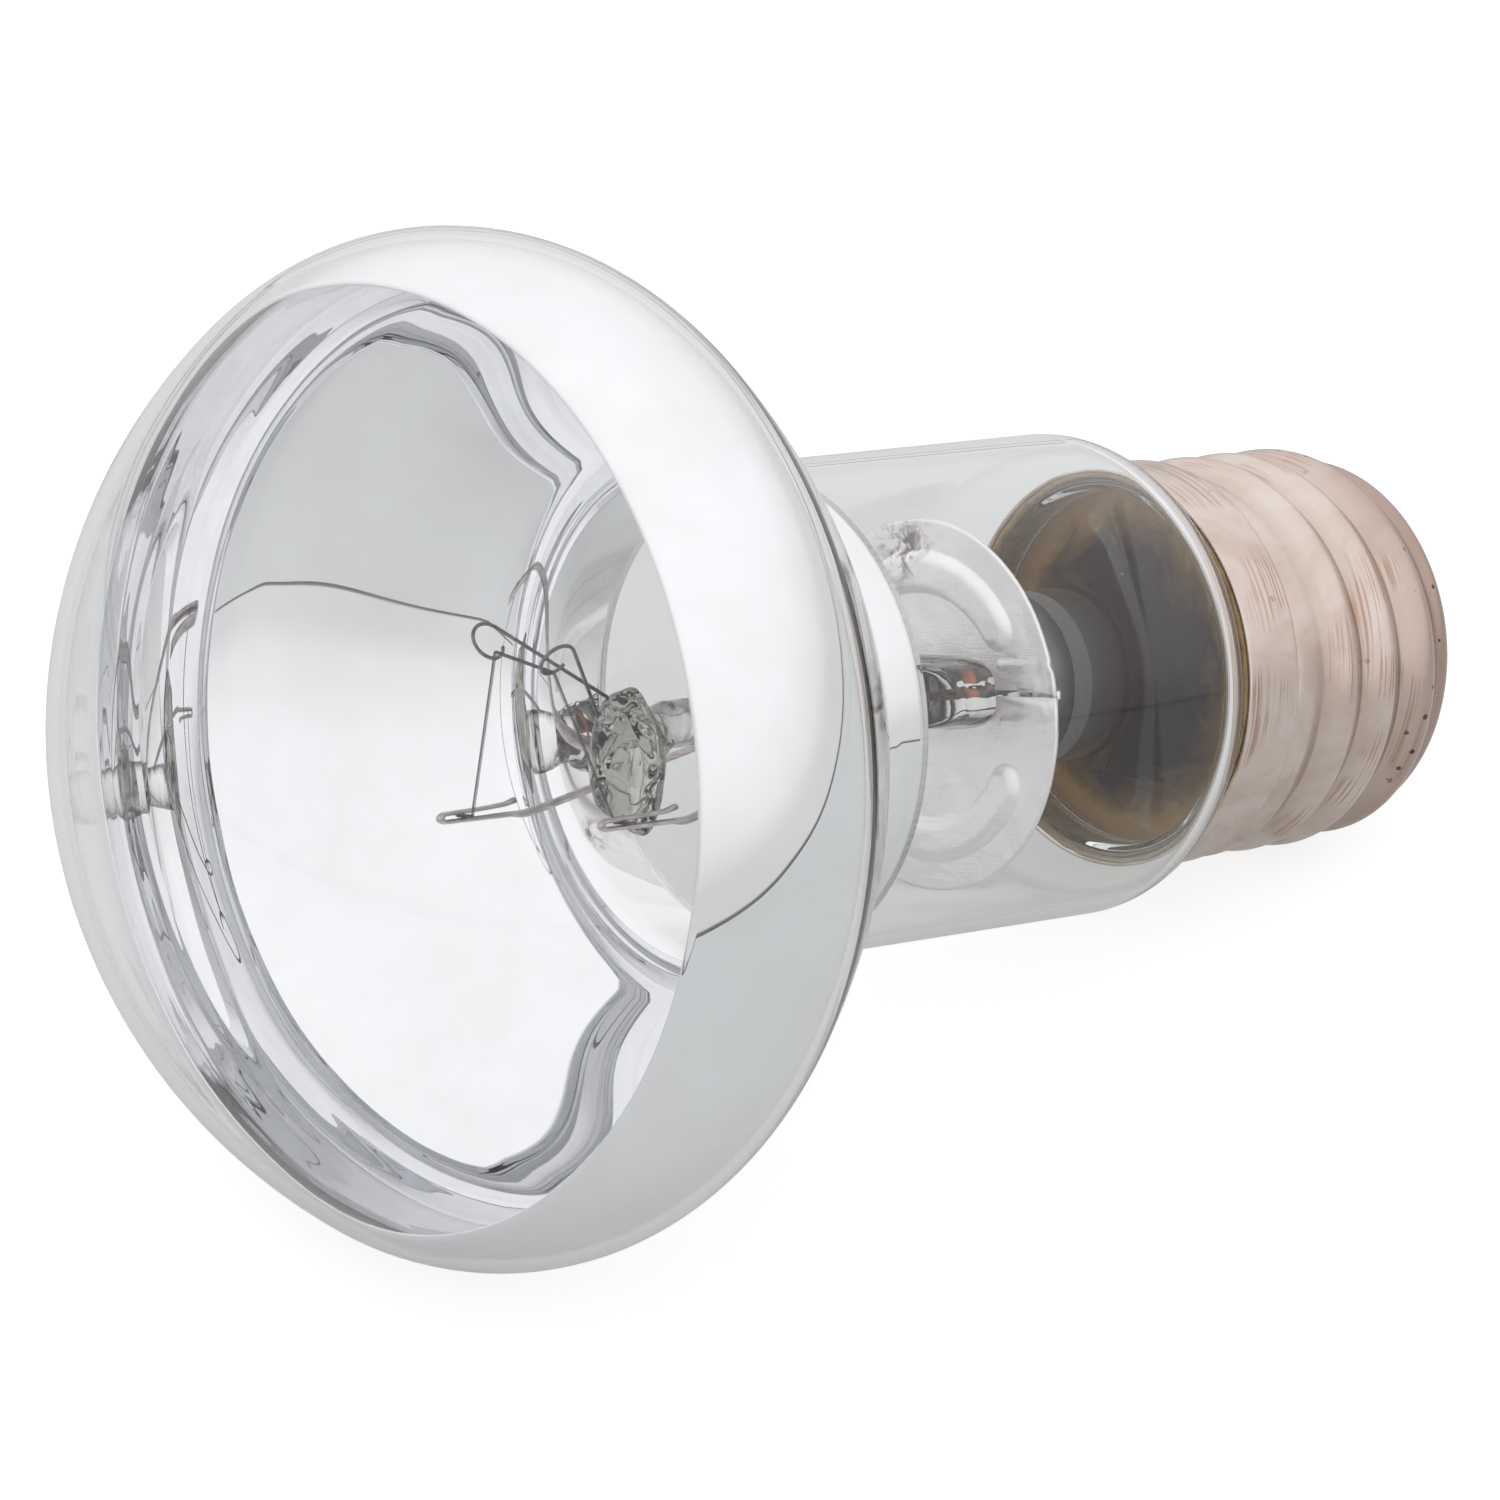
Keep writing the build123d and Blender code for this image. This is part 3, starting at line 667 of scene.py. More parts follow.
def cap_metal():
    """Nickel-plated cap: warm, satin, with lines from the rolling tool, tarnish and pits, plus painted shade
    in the thread's valleys and painted reflection streaks.
    """
    material, tree, out = new_material("cap_metal")
    place = lamp_place(tree)
    parts = node(tree, "ShaderNodeSeparateXYZ", {"Vector": place}).outputs
    lines = clouds(tree, lamp_place(tree, (0.12, 0.12, 9.0)), 0.8, 3.0, 0.6)
    tarnish = clouds(tree, lamp_place(tree, (1.0, 1.0, 0.7)), 0.14, 4.0, 0.6, 0.8)
    tone = ramp(
        tree,
        tarnish,
        (0.3, (0.55, 0.445, 0.38)),
        (0.5, (0.65, 0.56, 0.5)),
        (0.7, (0.7, 0.625, 0.58)),
    )
    # Painted shade in the valleys of the thread, which winds from its start round the axis
    angle = math(tree, "ARCTAN2", parts["Y"], parts["X"])
    climb = math(tree, "DIVIDE", math(tree, "SUBTRACT", parts["Z"], THREAD_STATION), THREAD_PITCH / (2 * pi))
    winding = math(tree, "ADD", math(tree, "SUBTRACT", climb, angle), radians(THREAD_START_ANGLE))
    low = math(tree, "MULTIPLY", math(tree, "COSINE", winding), -1.0)
    threaded = math(
        tree,
        "MULTIPLY",
        station_mask(tree, parts["Z"], root_low_station, THREAD_STATION),
        station_mask(tree, parts["Z"], root_top_station, THREAD_TOP_STATION - 1.0),
    )
    painted_valley_shade = math(tree, "MULTIPLY", ramp(tree, low, (0.15, 0.0), (0.95, 0.2)), threaded)
    tone = mixed(tree, painted_valley_shade, tone, (0.40, 0.31, 0.255, 1.0))
    # Painted reflection of a dark gap as brown streaks along the thread, and a browned end with pits
    worn = clouds(tree, place, 0.16, 2.0, 0.5)
    # Painted reflection: brown streaks standing in for a dark gap mirrored in the cap
    painted_streak_reflection = math(
        tree,
        "MULTIPLY",
        ramp(tree, lines, (0.5, 0.0), (0.58, 1.0)),
        ramp(tree, worn, (0.48, 0.0), (0.58, 0.85)),
    )
    tone = mixed(tree, painted_streak_reflection, tone, (0.42, 0.27, 0.205, 1.0))
    browned = station_mask(tree, parts["Z"], THREAD_STATION + 4.5, LIP_STATION + 1.5)
    tone = mixed(tree, math(tree, "MULTIPLY", browned, 0.9), tone, (0.40, 0.29, 0.235, 1.0))
    pits = placed(tree, specks, {"Place": place, "Spacing": 1.1, "Radius": 0.24, "Share": 0.5})["Mask"]
    bare = ramp(tree, worn, (0.52, 0.0), (0.6, 0.3))
    pitted = math(tree, "MULTIPLY", pits, math(tree, "ADD", bare, browned, True))
    colour = mixed(tree, pitted, tone, (0.10, 0.075, 0.06, 1.0))
    rough = ramp(tree, tarnish, (0.3, 0.32), (0.7, 0.17))
    height = math(tree, "SUBTRACT", math(tree, "MULTIPLY", lines, 0.14), pitted)
    opaque_finish(tree, out, colour, rough, bumped(tree, height, 0.00006))
    return material


def flare_coat():
    """Coat on the back of the flare: olive-brown cement at its edge, painted shade of the cap's inside
    towards its middle, dark and then grey in its tube.
    """
    material, tree, out = new_material("flare_coat")
    place = lamp_place(tree)
    parts = node(tree, "ShaderNodeSeparateXYZ", {"Vector": place}).outputs
    squares = math(tree, "ADD", math(tree, "POWER", parts["X"], 2.0), math(tree, "POWER", parts["Y"], 2.0))
    smear = clouds(tree, place, 0.28, 3.0, 0.6, 0.6)
    shift = math(tree, "MULTIPLY", math(tree, "SUBTRACT", smear), 4.0)
    ragged = math(tree, "ADD", math(tree, "SQRT", squares), shift)
    reach = share_of(tree, ragged, STEM_RADIUS, COLLAR_RADIUS)
    # Painted shade: near-black towards the middle stands in for the shaded inside of the cap seen through
    # the flare
    tone = ramp(
        tree,
        reach,
        (0.25, (0.04, 0.022, 0.024)),
        (0.5, (0.3, 0.175, 0.065)),
        (0.72, (0.8, 0.5, 0.17)),
        (0.95, (0.85, 0.6, 0.28)),
    )
    greyed = station_mask(tree, parts["Z"], tube_station - 2.5, tube_station + 4.0)
    tone = mixed(tree, greyed, tone, (0.13, 0.124, 0.118, 1.0))
    dust = placed(tree, specks, {"Place": place, "Spacing": 1.6, "Radius": 0.09, "Share": 0.2})["Mask"]
    colour = mixed(tree, dust, tone, (0.6, 0.57, 0.52, 1.0))
    opaque_finish(tree, out, colour, 0.85, bumped(tree, smear, 0.0002), 0.0)
    return material


def seal_copper():
    """Copper-clad wire, red where the glass wets it and darkened towards its ends."""
    material, tree, out = new_material("copper_wire")
    place = lamp_place(tree)
    station = node(tree, "ShaderNodeSeparateXYZ", {"Vector": place}).outputs["Z"]
    middle = shield_station + 0.6
    red = math(
        tree,
        "MULTIPLY",
        station_mask(tree, station, middle + 0.8, middle + 0.3),
        station_mask(tree, station, middle - 0.8, middle - 0.3),
    )
    streaks = clouds(tree, place, 1.6, 2.0, 0.6)
    skin = ramp(tree, streaks, (0.3, (0.11, 0.09, 0.085)), (0.7, (0.3, 0.27, 0.26)))
    clad = ramp(tree, streaks, (0.3, (0.5, 0.2, 0.13)), (0.7, (0.8, 0.38, 0.27)))
    opaque_finish(tree, out, mixed(tree, red, skin, clad), 0.4, bumped(tree, streaks, 0.00003))
    return material


def cap_inside():
    """Bare brass inside the cap, browned by heat and cement dust, and darkened towards its bottom with
    painted shade.
    """
    material, tree, out = new_material("cap_inside")
    place = lamp_place(tree)
    heat = clouds(tree, place, 0.3, 4.0, 0.6, 0.5)
    station = node(tree, "ShaderNodeSeparateXYZ", {"Vector": place}).outputs["Z"]
    ragged = math(tree, "ADD", station, math(tree, "MULTIPLY", math(tree, "SUBTRACT", heat), 5.0))
    depth = share_of(tree, ragged, root_low_station, edge_station)
    # Painted shade: near-black deep in the cap, lightening to brown brass towards its edge
    tone = ramp(
        tree,
        depth,
        (0.1, (0.05, 0.042, 0.048)),
        (0.45, (0.1, 0.08, 0.078)),
        (0.65, (0.26, 0.2, 0.135)),
        (0.9, (0.36, 0.29, 0.18)),
    )
    bare = ramp(tree, depth, (0.4, 0.8), (0.7, 0.05))
    rough = ramp(tree, heat, (0.3, 0.4), (0.7, 0.65))
    opaque_finish(tree, out, tone, rough, bumped(tree, heat, 0.0001), bare)
    return material


def plain_finish(name, light, dark, scale, least, most, relief, metallic=0.0):
    """Mottled finish of one material, rough or glossy."""
    material, tree, out = new_material(name)
    mottle = clouds(tree, lamp_place(tree), scale, 4.0, 0.6, 0.3)
    tone = ramp(tree, mottle, (0.3, dark), (0.7, light))
    rough = ramp(tree, mottle, (0.3, least), (0.7, most))
    opaque_finish(tree, out, tone, rough, bumped(tree, mottle, relief), metallic)
    return material


# Bulb and film


def bowl_outline(inset, front_angle, low_station, bowl=(BOWL_RADIUS, BOWL_ANGLE)):
    """Outline of rim, bowl and neck from front to back, inset from the outside of the glass."""
    radius, rim_end = bowl
    centre, station, neck_end, top = bowl_fit(radius, rim_end)
    points = arc((rim_centre, rim_station), RIM_ROUND - inset, front_angle, -rim_end, 30)
    points += arc((centre, station), radius - inset, -rim_end, -neck_end, 26)[1:]
    points += arc((fillet_centre, top), NECK_FILLET + inset, 180 - neck_end, 180, 12)[1:]
    low = NECK_RADIUS - inset
    return points + run((low, top), (low, low_station), 6)[1:]


def bulb_outline(inset):
    """Whole outline of the bulb from the middle of its face to the end of its collar."""
    points = arc((0, face_centre), face_radius - inset, 90, face_angle, 28)
    points += bowl_outline(inset, face_angle, neck_low_station)[1:]
    points += arc((shoulder_centre, neck_low_station), SHOULDER_ROUND - inset, 0, -collar_angle, 14)[1:]
    points += arc((collar_centre, collar_station), COLLAR_FILLET + inset, 180 - collar_angle, 180, 8)[1:]
    low = COLLAR_RADIUS - inset
    points += run((low, collar_station), (low, seal_station + COLLAR_EDGE), 3)[1:]
    return points + [(low, seal_station)]


def blown(x, y, z):
    """Slight unevenness of blown glass, strongest round the rim."""
    share = eased((z - neck_top_station) / (rim_station - neck_top_station))
    swell = noise.noise(Vector((x, y, z)) * 0.09) + 0.5 * noise.noise(Vector((x, y, z)) * 0.23)
    scale = 1.0 + WAVE_DEPTH * share * swell / RIM_RADIUS
    return (x * scale, y * scale, z)


def make_bulb():
    """Envelope of face, rim, bowl, neck and collar."""
    inside = bulb_outline(GLASS_WALL)
    bulb = turned("bulb", bulb_outline(0.0) + inside[::-1], 176)
    pressed(bulb, blown)
    return bulb


def film_form(x, y, z):
    """Soft waves of the film, deeper towards the rim, and a bowl flattened along its middle."""
    bowl_radius, rim_end = FILM_BOWL
    _, station, neck_end, _ = bowl_fit(bowl_radius, rim_end)
    low = station - bowl_radius * sin(radians(neck_end))
    high = rim_station - RIM_ROUND * sin(radians(rim_end))
    share = min(max((z - low) / (high - low), 0.0), 1.0)
    flat = 0.7 * FILM_FLATTEN * (0.5 - 0.5 * cos(2 * pi * share))
    front = eased((z - low) / (rim_station - low))
    ripple = noise.noise(Vector((x * 0.05, y * 0.05, z * 0.14)))
    radius = hypot(x, y)
    scale = (radius - flat - FILM_RIPPLE * front * (0.5 + 0.5 * ripple)) / radius
    return (x * scale, y * scale, z + flat)


def make_film():
    """Film on the inside of rim, bowl and neck, a hair off the glass."""
    rear_station = neck_top_station - FILM_NECK_REACH
    outer = bowl_outline(GLASS_WALL + FILM_GAP, FILM_FRONT_ANGLE, rear_station, FILM_BOWL)
    inner = bowl_outline(GLASS_WALL + FILM_GAP + FILM, FILM_FRONT_ANGLE, rear_station, FILM_BOWL)
    film = turned("film", outer + inner[::-1] + outer[:1], 176)
    pressed(film, blown)
    pressed(film, film_form)
    return film


# Stem


def stem_outline():
    """Outline of exhaust tube, flare, tube, pinch, rod and button."""
    tube_bore = STEM_RADIUS - STEM_WALL
    lip = seal_station - SEAL_GAP
    exhaust = arc((0, EXHAUST_STATION + EXHAUST_RADIUS), EXHAUST_RADIUS, -90, 0, 8)
    throat_station = taper_station - THROAT_DROP
    exhaust += run(exhaust[-1], (EXHAUST_RADIUS, throat_station), 6)[1:]
    throat = arc((EXHAUST_RADIUS + THROAT_ROUND, throat_station), THROAT_ROUND, 180, 90, 6)[1:]
    inside = [(tube_bore, taper_station - 0.6)]
    inside += run((tube_bore, taper_station - 1.2), (tube_bore, tube_station), 4)
    inside += arc((flare_edge, tube_station), flare_radius + STEM_WALL, 180, 270, 16)[1:]
    edge = [(COLLAR_RADIUS, lip - STEM_WALL), (COLLAR_RADIUS, lip), (flare_edge, lip)]
    outside = arc((flare_edge, tube_station), flare_radius + SEAL_GAP, 270, 180, 16)[1:]
    round_station = pinch_top_station - PINCH_ROUND
    outside += run((STEM_RADIUS, tube_station), (STEM_RADIUS, round_station), 30)
    shoulder = arc((STEM_RADIUS - PINCH_ROUND, round_station), PINCH_ROUND, 0, 90, 6)[1:]
    shoulder += run(shoulder[-1], (ROD_RADIUS + 0.5, pinch_top_station), 5)[1:]
    rod = [(ROD_RADIUS + 0.12, pinch_top_station + 0.35)]
    low = sqrt(BUTTON_RADIUS**2 - ROD_RADIUS**2)
    rod += run((ROD_RADIUS, pinch_top_station + 0.9), (ROD_RADIUS, button_station - low), 16)
    button = arc((0, button_station), BUTTON_RADIUS, -degrees(atan2(low, ROD_RADIUS)), 90, 26)[1:]
    return exhaust + throat + inside + edge + outside + shoulder + rod + button


def squared(share, half_width):
    """Place across the pinch, whose section is an oblong with soft corners."""
    return half_width * abs(share) ** PINCH_SQUARENESS * (1 if share >= 0 else -1)


def stem_form(x, y, z):
    """Flattens the pinch and hangs the button below the rod as a lumpy drop."""
    radius = hypot(x, y)
    turn = atan2(y, x)
    if radius > EXHAUST_RADIUS + 0.1 and taper_station - 0.7 < z < pinch_top_station + 0.4:
        flat = eased((z - taper_station) / PINCH_TAPER)
        if z > pinch_top_station - PINCH_ROUND:
            flat *= eased((radius - ROD_RADIUS) / (STEM_RADIUS - 1.2 - ROD_RADIUS))
        share = radius / STEM_RADIUS
        across = share * squared(cos(turn), PINCH_WIDTH / 2)
        through = share * squared(sin(turn), PINCH_THICKNESS / 2)
        x += (across - x) * flat
        y += (through - y) * flat
    hang = eased((z - button_station + BUTTON_RADIUS) / 1.4)
    lump = noise.noise(Vector((x, y, z)) * 0.55 + Vector((7.0, 3.0, 1.0))) * BUTTON_LUMPS * hang
    y = y * (1.0 + (BUTTON_STRETCH - 1.0) * hang) * (1.0 + lump) - BUTTON_DROP * hang
    return (x * (1.0 + lump), y, z)


def make_stem():
    """Flare, tube, pinch, rod and button in one melt, with the bore of the exhaust tube."""
    stem = turned("stem", stem_outline(), 72)
    pressed(stem, stem_form)
    low = EXHAUST_STATION + 2 * EXHAUST_RADIUS
    top = taper_station - 0.5
    bore = arc((0, low), EXHAUST_BORE, -90, 0, 5)
    bore += run((EXHAUST_BORE, low), (EXHAUST_BORE, top), 4)[1:] + [(0, top)]
    hollow = turned("bore", bore, 32)
    bpy.ops.object.mode_set(mode="EDIT")
    bpy.ops.mesh.select_all(action="SELECT")
    bpy.ops.mesh.flip_normals()
    bpy.ops.object.mode_set(mode="OBJECT")
    stem.data.materials.append(stem_glass())
    stem.data.materials.append(flare_coat())
    joined(stem, hollow)
    for face in stem.data.polygons:
        radius = hypot(face.center.x, face.center.y)
        away = hypot(flare_edge - min(radius, flare_edge), tube_station - face.center.z)
        behind = EXHAUST_RADIUS + 1 < radius and away > flare_radius + STEM_WALL - 0.1
        if face.center.z < taper_station - 1.3 and (behind or radius > flare_edge):
            face.material_index = 1
    return stem


# Heat shield


def shield_form(x, y, z):
    """Spreads flat rings from the pinch's hole to the rim and raises the stamped relief."""
    share = (hypot(x, y) - SHIELD_START) / (SHIELD_RADIUS - SHIELD_START)
    turn = atan2(y, x)
    half_slit = SHIELD_SLIT / 2
    hole_x = squared(cos(turn), PINCH_WIDTH / 2 + SHIELD_FIT)
    hole_y = squared(sin(turn), PINCH_THICKNESS / 2 + SHIELD_FIT)
    rim_x = SHIELD_RADIUS * cos(turn)
    rim_y = SHIELD_RADIUS * sin(turn) - SHIELD_DROP
    wide = hole_x + (rim_x - hole_x) * share
    high = hole_y + (rim_y - hole_y) * share
    if abs(degrees(turn)) < 1.5 * SHIELD_SLIT_ANGLE:
        high = half_slit if y > 0 else -half_slit
    ring_turn = degrees(atan2(high + SHIELD_DROP, -wide))
    half_arc = RIDGE_ARC / 2
    if abs(ring_turn) > half_arc:
        end = radians(half_arc if ring_turn > 0 else -half_arc)
        gap = hypot(wide + RIDGE_RADIUS * cos(end), high + SHIELD_DROP - RIDGE_RADIUS * sin(end))
    else:
        gap = abs(hypot(wide, high + SHIELD_DROP) - RIDGE_RADIUS)
    relief = RIDGE_HEIGHT * eased((RIDGE_WIDTH / 2 - gap) / RIDGE_FLANK)
    beside = eased(abs(abs(high) - CREASE_OFFSET) / 0.3)
    crease = CREASE_HEIGHT * (1.0 - beside) if wide > CREASE_START else 0.0
    crinkle = CRINKLE * noise.noise(Vector((wide * 0.5, high * 0.5, 4.0)))
    return (wide, high, z + relief + crease + crinkle)


def make_shield():
    """Stamped disc on the pinch, slit on one side."""
    rings = run((SHIELD_START, shield_station), (SHIELD_RADIUS, shield_station), 44)
    shield = turned("shield", rings, 178, SHIELD_SLIT_ANGLE, 360.0 - 2 * SHIELD_SLIT_ANGLE)
    pressed(shield, shield_form)
    walled(shield, SHIELD_SHEET, 1.0)
    return shield


# Wires inside the bulb


def make_lead(name, hand):
    """Stiff lead from the pinch to the filament, its end pressed flat and folded back."""
    root = hand * LEAD_SPACING / 2
    spread = hand * LEAD_SPREAD / 2
    fold_rise = 2 * HOOK_RADIUS - LEAD_DROP
    low = pinch_top_station - SEAL_DEPTH
    path = [
        Vector((root, 0, low)),
        Vector((root, 0, pinch_top_station + LEAD_STRAIGHT)),
        Vector((spread, -LEAD_DROP, hook_station - LEAD_LEVEL)),
        Vector((spread, -LEAD_DROP, hook_station)),
    ]
    route = rounded(path, LEAD_BEND)
    for step in range(1, 12):
        turn = pi * step / 12
        lift = HOOK_RADIUS * (1 - cos(turn))
        route.append(Vector((spread, lift - LEAD_DROP, hook_station + HOOK_RADIUS * sin(turn))))
    for step in range(8):
        share = step / 7
        opening = HOOK_OPENING * share * share
        route.append(Vector((spread, fold_rise + opening, hook_station - HOOK_RETURN * share)))
    lead = wire(name, route, LEAD_RADIUS, 4)

    def clamped(x, y, z):
        share = eased((z - hook_station + HOOK_RETURN + 1.0) / 2.0)
        squeeze = 1.0 - CLAMP_SQUEEZE * share
        widen = 1.0 + CLAMP_SPREAD * share
        return (spread + (x - spread) * widen, clamp_rise + (y - clamp_rise) * squeeze, z)

    pressed(lead, clamped)
    return lead


def filament_corner(hand):
    """Point over one support where the filament turns: the near one lies lower."""
    fall = FILAMENT_FALL * (1 + hand) / 2
    return Vector((hand * FILAMENT_TOP_WIDTH / 2 - FILAMENT_LEAN, filament_rise - fall, clamp_station))


def make_support(name, hand):
    """Support from the button, its end curled into a loop round the filament."""
    corner = filament_corner(hand)
    foot = Vector((hand * (LEAD_SPREAD / 2 - FILAMENT_TUCK), clamp_rise, clamp_station))
    crossing = corner - filament_corner(-hand)
    outward = ((corner - foot).normalized() + crossing.normalized()).normalized()
    loop_rise = SUPPORT_LOOP - SUPPORT_RADIUS - FILAMENT_RADIUS - SUPPORT_FIT
    root_station = button_station + hand * SUPPORT_STAGGER
    reach = clamp_station - root_station
    climb = loop_rise + SUPPORT_ROOT
    heading = atan2(climb, reach) + asin(SUPPORT_LOOP / hypot(reach, climb))
    length = sqrt(reach**2 + climb**2 - SUPPORT_LOOP**2)
    route = [(root_station, -SUPPORT_ROOT)]
    touch = (root_station + length * cos(heading), length * sin(heading) - SUPPORT_ROOT)
    centre = (touch[0] + SUPPORT_LOOP * sin(heading), touch[1] - SUPPORT_LOOP * cos(heading))
    for step in range(31):
        turn = heading + pi / 2 - radians(SUPPORT_LOOP_ARC) * step / 30
        route.append((centre[0] + SUPPORT_LOOP * cos(turn), centre[1] + SUPPORT_LOOP * sin(turn)))
    points = [corner + outward * high + UP * (station - clamp_station) for station, high in route]
    for step, point in enumerate(points[1:]):
        point += UP.cross(outward) * SUPPORT_WIND * step
    return wire(name, points, SUPPORT_RADIUS, 3)


def make_filament():
    """Fine coil from clamp to clamp over both supports."""
    foot = LEAD_SPREAD / 2 - FILAMENT_TUCK
    tail = LEAD_SPREAD / 2 + FILAMENT_TAIL
    corners = [
        Vector((-tail, clamp_rise, clamp_station)),
        Vector((-foot, clamp_rise, clamp_station)),
        filament_corner(-1),
        filament_corner(1),
        Vector((foot, clamp_rise, clamp_station)),
        Vector((tail, clamp_rise, clamp_station)),
    ]
    route = []
    core = FILAMENT_RADIUS - COIL_WIRE
    turn = 0.0
    for here, there in zip(corners, corners[1:]):
        heading = (there - here).normalized()
        across = heading.cross(UP)
        count = int((there - here).length / COIL_PITCH * COIL_POINTS)
        for step in range(count):
            turn += 2 * pi / COIL_POINTS
            middle = here.lerp(there, step / count)
            route.append(middle + (across * cos(turn) + UP * sin(turn)) * core)
    return wire("filament_coil", route, COIL_WIRE, 1)


# Cap


def thread_lift(angle, station):
    """How far the rolled thread stands out of the shell at a place on it."""
    start_turn = ((angle - THREAD_START_ANGLE) % 360.0) / 360.0
    turns = (station - THREAD_STATION) / THREAD_PITCH
    crest_turn = start_turn + floor(turns - start_turn + 0.5)
    gap = turns - crest_turn
    inside = min(crest_turn, THREAD_TURNS - crest_turn)
    swell = eased((inside + THREAD_FADE) / (2 * THREAD_FADE))
    low = eased((station - root_low_station) / THREAD_EASE)
    high = eased((root_top_station - station) / THREAD_EASE)
    crest = (0.5 + 0.5 * cos(2 * pi * gap)) ** THREAD_ROUNDNESS
    return THREAD_DEPTH * swell * low * high * crest


def shell_form(x, y, z):
    """Raises the thread on the shell."""
    if not root_low_station < z < root_top_station:
        return (x, y, z)
    radius = hypot(x, y)
    scale = 1.0 + thread_lift(degrees(atan2(y, x)), z) / radius
    return (x * scale, y * scale, z)


def make_shell():
    """Rolled sheet with a round thread, a plain skirt and an end turned in."""
    end_centre = root_radius - SHELL_END_ROUND
    outline = run((LIP_OPENING, LIP_STATION), (end_centre, LIP_STATION), 2)
    outline += arc((end_centre, root_low_station), SHELL_END_ROUND, -90, 0, 10)[1:]
    outline += run((root_radius, root_low_station), (root_radius, root_top_station), 96)[1:]
    outline += run((root_radius, root_top_station), (SKIRT_RADIUS - 0.12, skirt_station - 0.1), 5)[1:]
    outline += [(SKIRT_RADIUS - 0.03, skirt_station), (SKIRT_RADIUS, skirt_station + 0.12)]
    outline += run((SKIRT_RADIUS, skirt_station + 0.3), (SKIRT_RADIUS, edge_station - 0.3), 8)
    outline += [(SKIRT_RADIUS, edge_station - 0.12), (SKIRT_RADIUS - 0.02, edge_station)]
    shell = turned("shell", outline, 220)
    pressed(shell, shell_form)
    shell.data.materials.append(cap_metal())
    shell.data.materials.append(cap_inside())
    walled(shell, CAP_SHEET, inner_finish=1)
    return shell


def make_insulator():
    """Pressed glass in the end of the shell, with a hole for the lead."""
    end_centre = root_radius - SHELL_END_ROUND
    bore = root_radius - CAP_SHEET - SEAT_GAP
    flat = NOSE_RADIUS - NOSE_ROUND
    outline = [(LEAD_HOLE, NOSE_STATION), (flat, NOSE_STATION)]
    outline += arc((flat, NOSE_STATION + NOSE_ROUND), NOSE_ROUND, -90, -30, 4)[1:]
    opening = LIP_OPENING - SEAT_GAP
    ledge = LIP_STATION + CAP_SHEET + SEAT_GAP
    outline += run(outline[-1], (opening, LIP_STATION - 0.05), 8)[1:]
    outline += [(opening, ledge), (end_centre, ledge)]
    outline += arc((end_centre, root_low_station), SHELL_END_ROUND - CAP_SHEET - SEAT_GAP, -90, 0, 6)[1:]
    outline += [(bore, plug_station), (LEAD_HOLE, plug_station), (LEAD_HOLE, NOSE_STATION)]
    return turned("insulator", outline, 96)


def make_contact():
    """Stamped contact plate with a rolled edge."""
    low = CONTACT_STATION
    high = NOSE_STATION - SEAT_GAP / 2
    flat = CONTACT_RADIUS - CONTACT_ROUND
    outline = [(LEAD_HOLE, low), (flat, low)]
    outline += arc((flat, low + CONTACT_ROUND), CONTACT_ROUND, -90, 0, 5)[1:]
    outline += [(CONTACT_RADIUS, high), (LEAD_HOLE, high), (LEAD_HOLE, low)]
    return turned("contact", outline, 72)


def make_contact_solder():
    """Dome of solder, set in uneven ripples."""
    sphere = (SOLDER_RADIUS**2 + CONTACT_STATION**2) / (2 * CONTACT_STATION)
    half = degrees(asin(SOLDER_RADIUS / sphere))
    top = CONTACT_STATION - SEAT_GAP / 2
    outline = arc((0, sphere), sphere, -90, -90 + half, 18) + [(SOLDER_RADIUS, top), (0, top)]
    dome = turned("solder_dome", outline, 64)

    def ripple(x, y, z):
        lift = SOLDER_RIPPLE * noise.noise(Vector((x * 0.7, y * 0.7, 2.0)))
        spread = 1.0 + 0.05 * noise.noise(Vector((x * 0.9, y * 0.9, 5.0)))
        share = 1.0 - eased(z / CONTACT_STATION)
        return (x * spread, y * spread, max(z + lift * share, 0.0))

    pressed(dome, ripple)
    return dome


def make_cement():
    """Ring of cement with a rough free edge."""
    inner = COLLAR_RADIUS + SEAT_GAP
    outer = skirt_bore - SEAT_GAP
    low = skirt_station
    high = edge_station - CEMENT_RECESS
    outline = run((inner, low), (outer, low), 2) + run((outer, low + 0.3), (outer, high), 6)
    crown = high + CEMENT_CROWN
    outline += run((outer - CEMENT_BEVEL, crown), (inner + CEMENT_BEVEL, crown), 2)
    outline += run((inner, high), (inner, low), 6)
    ring = turned("cement_ring", outline, 160)

    def rough(x, y, z):
        lift = CEMENT_LUMPS * noise.noise(Vector((x * 0.8, y * 0.8, 1.0)))
        return (x, y, z + lift * eased((z - low) / (high - low)))

    pressed(ring, rough)
    return ring


def make_skirt_solder():
    """Bead of solder that joins the side lead to the edge of the skirt."""
    bpy.ops.object.select_all(action="DESELECT")
    place = (BEAD_RADIUS - SKIRT_RADIUS, 0.0, edge_station)
    bpy.ops.mesh.primitive_ico_sphere_add(subdivisions=4, radius=BEAD_RADIUS * 0.8, location=place)
    bpy.ops.object.transform_apply(location=True, rotation=False, scale=False)
    bead = bpy.context.object
    bead.name = "solder_bead"

    def slumped(x, y, z):
        away = Vector((x - place[0], y, z - edge_station))
        away *= 1.0 + BEAD_LUMPS * noise.noise(Vector((x, y, z)) * 1.3)
        away *= Vector((BEAD_SLUMP, BEAD_STRETCH, BEAD_SLUMP))
        return (place[0] + away.x, away.y, edge_station + away.z)

    pressed(bead, slumped)
    bpy.ops.object.shade_smooth()
    return bead


# Studio


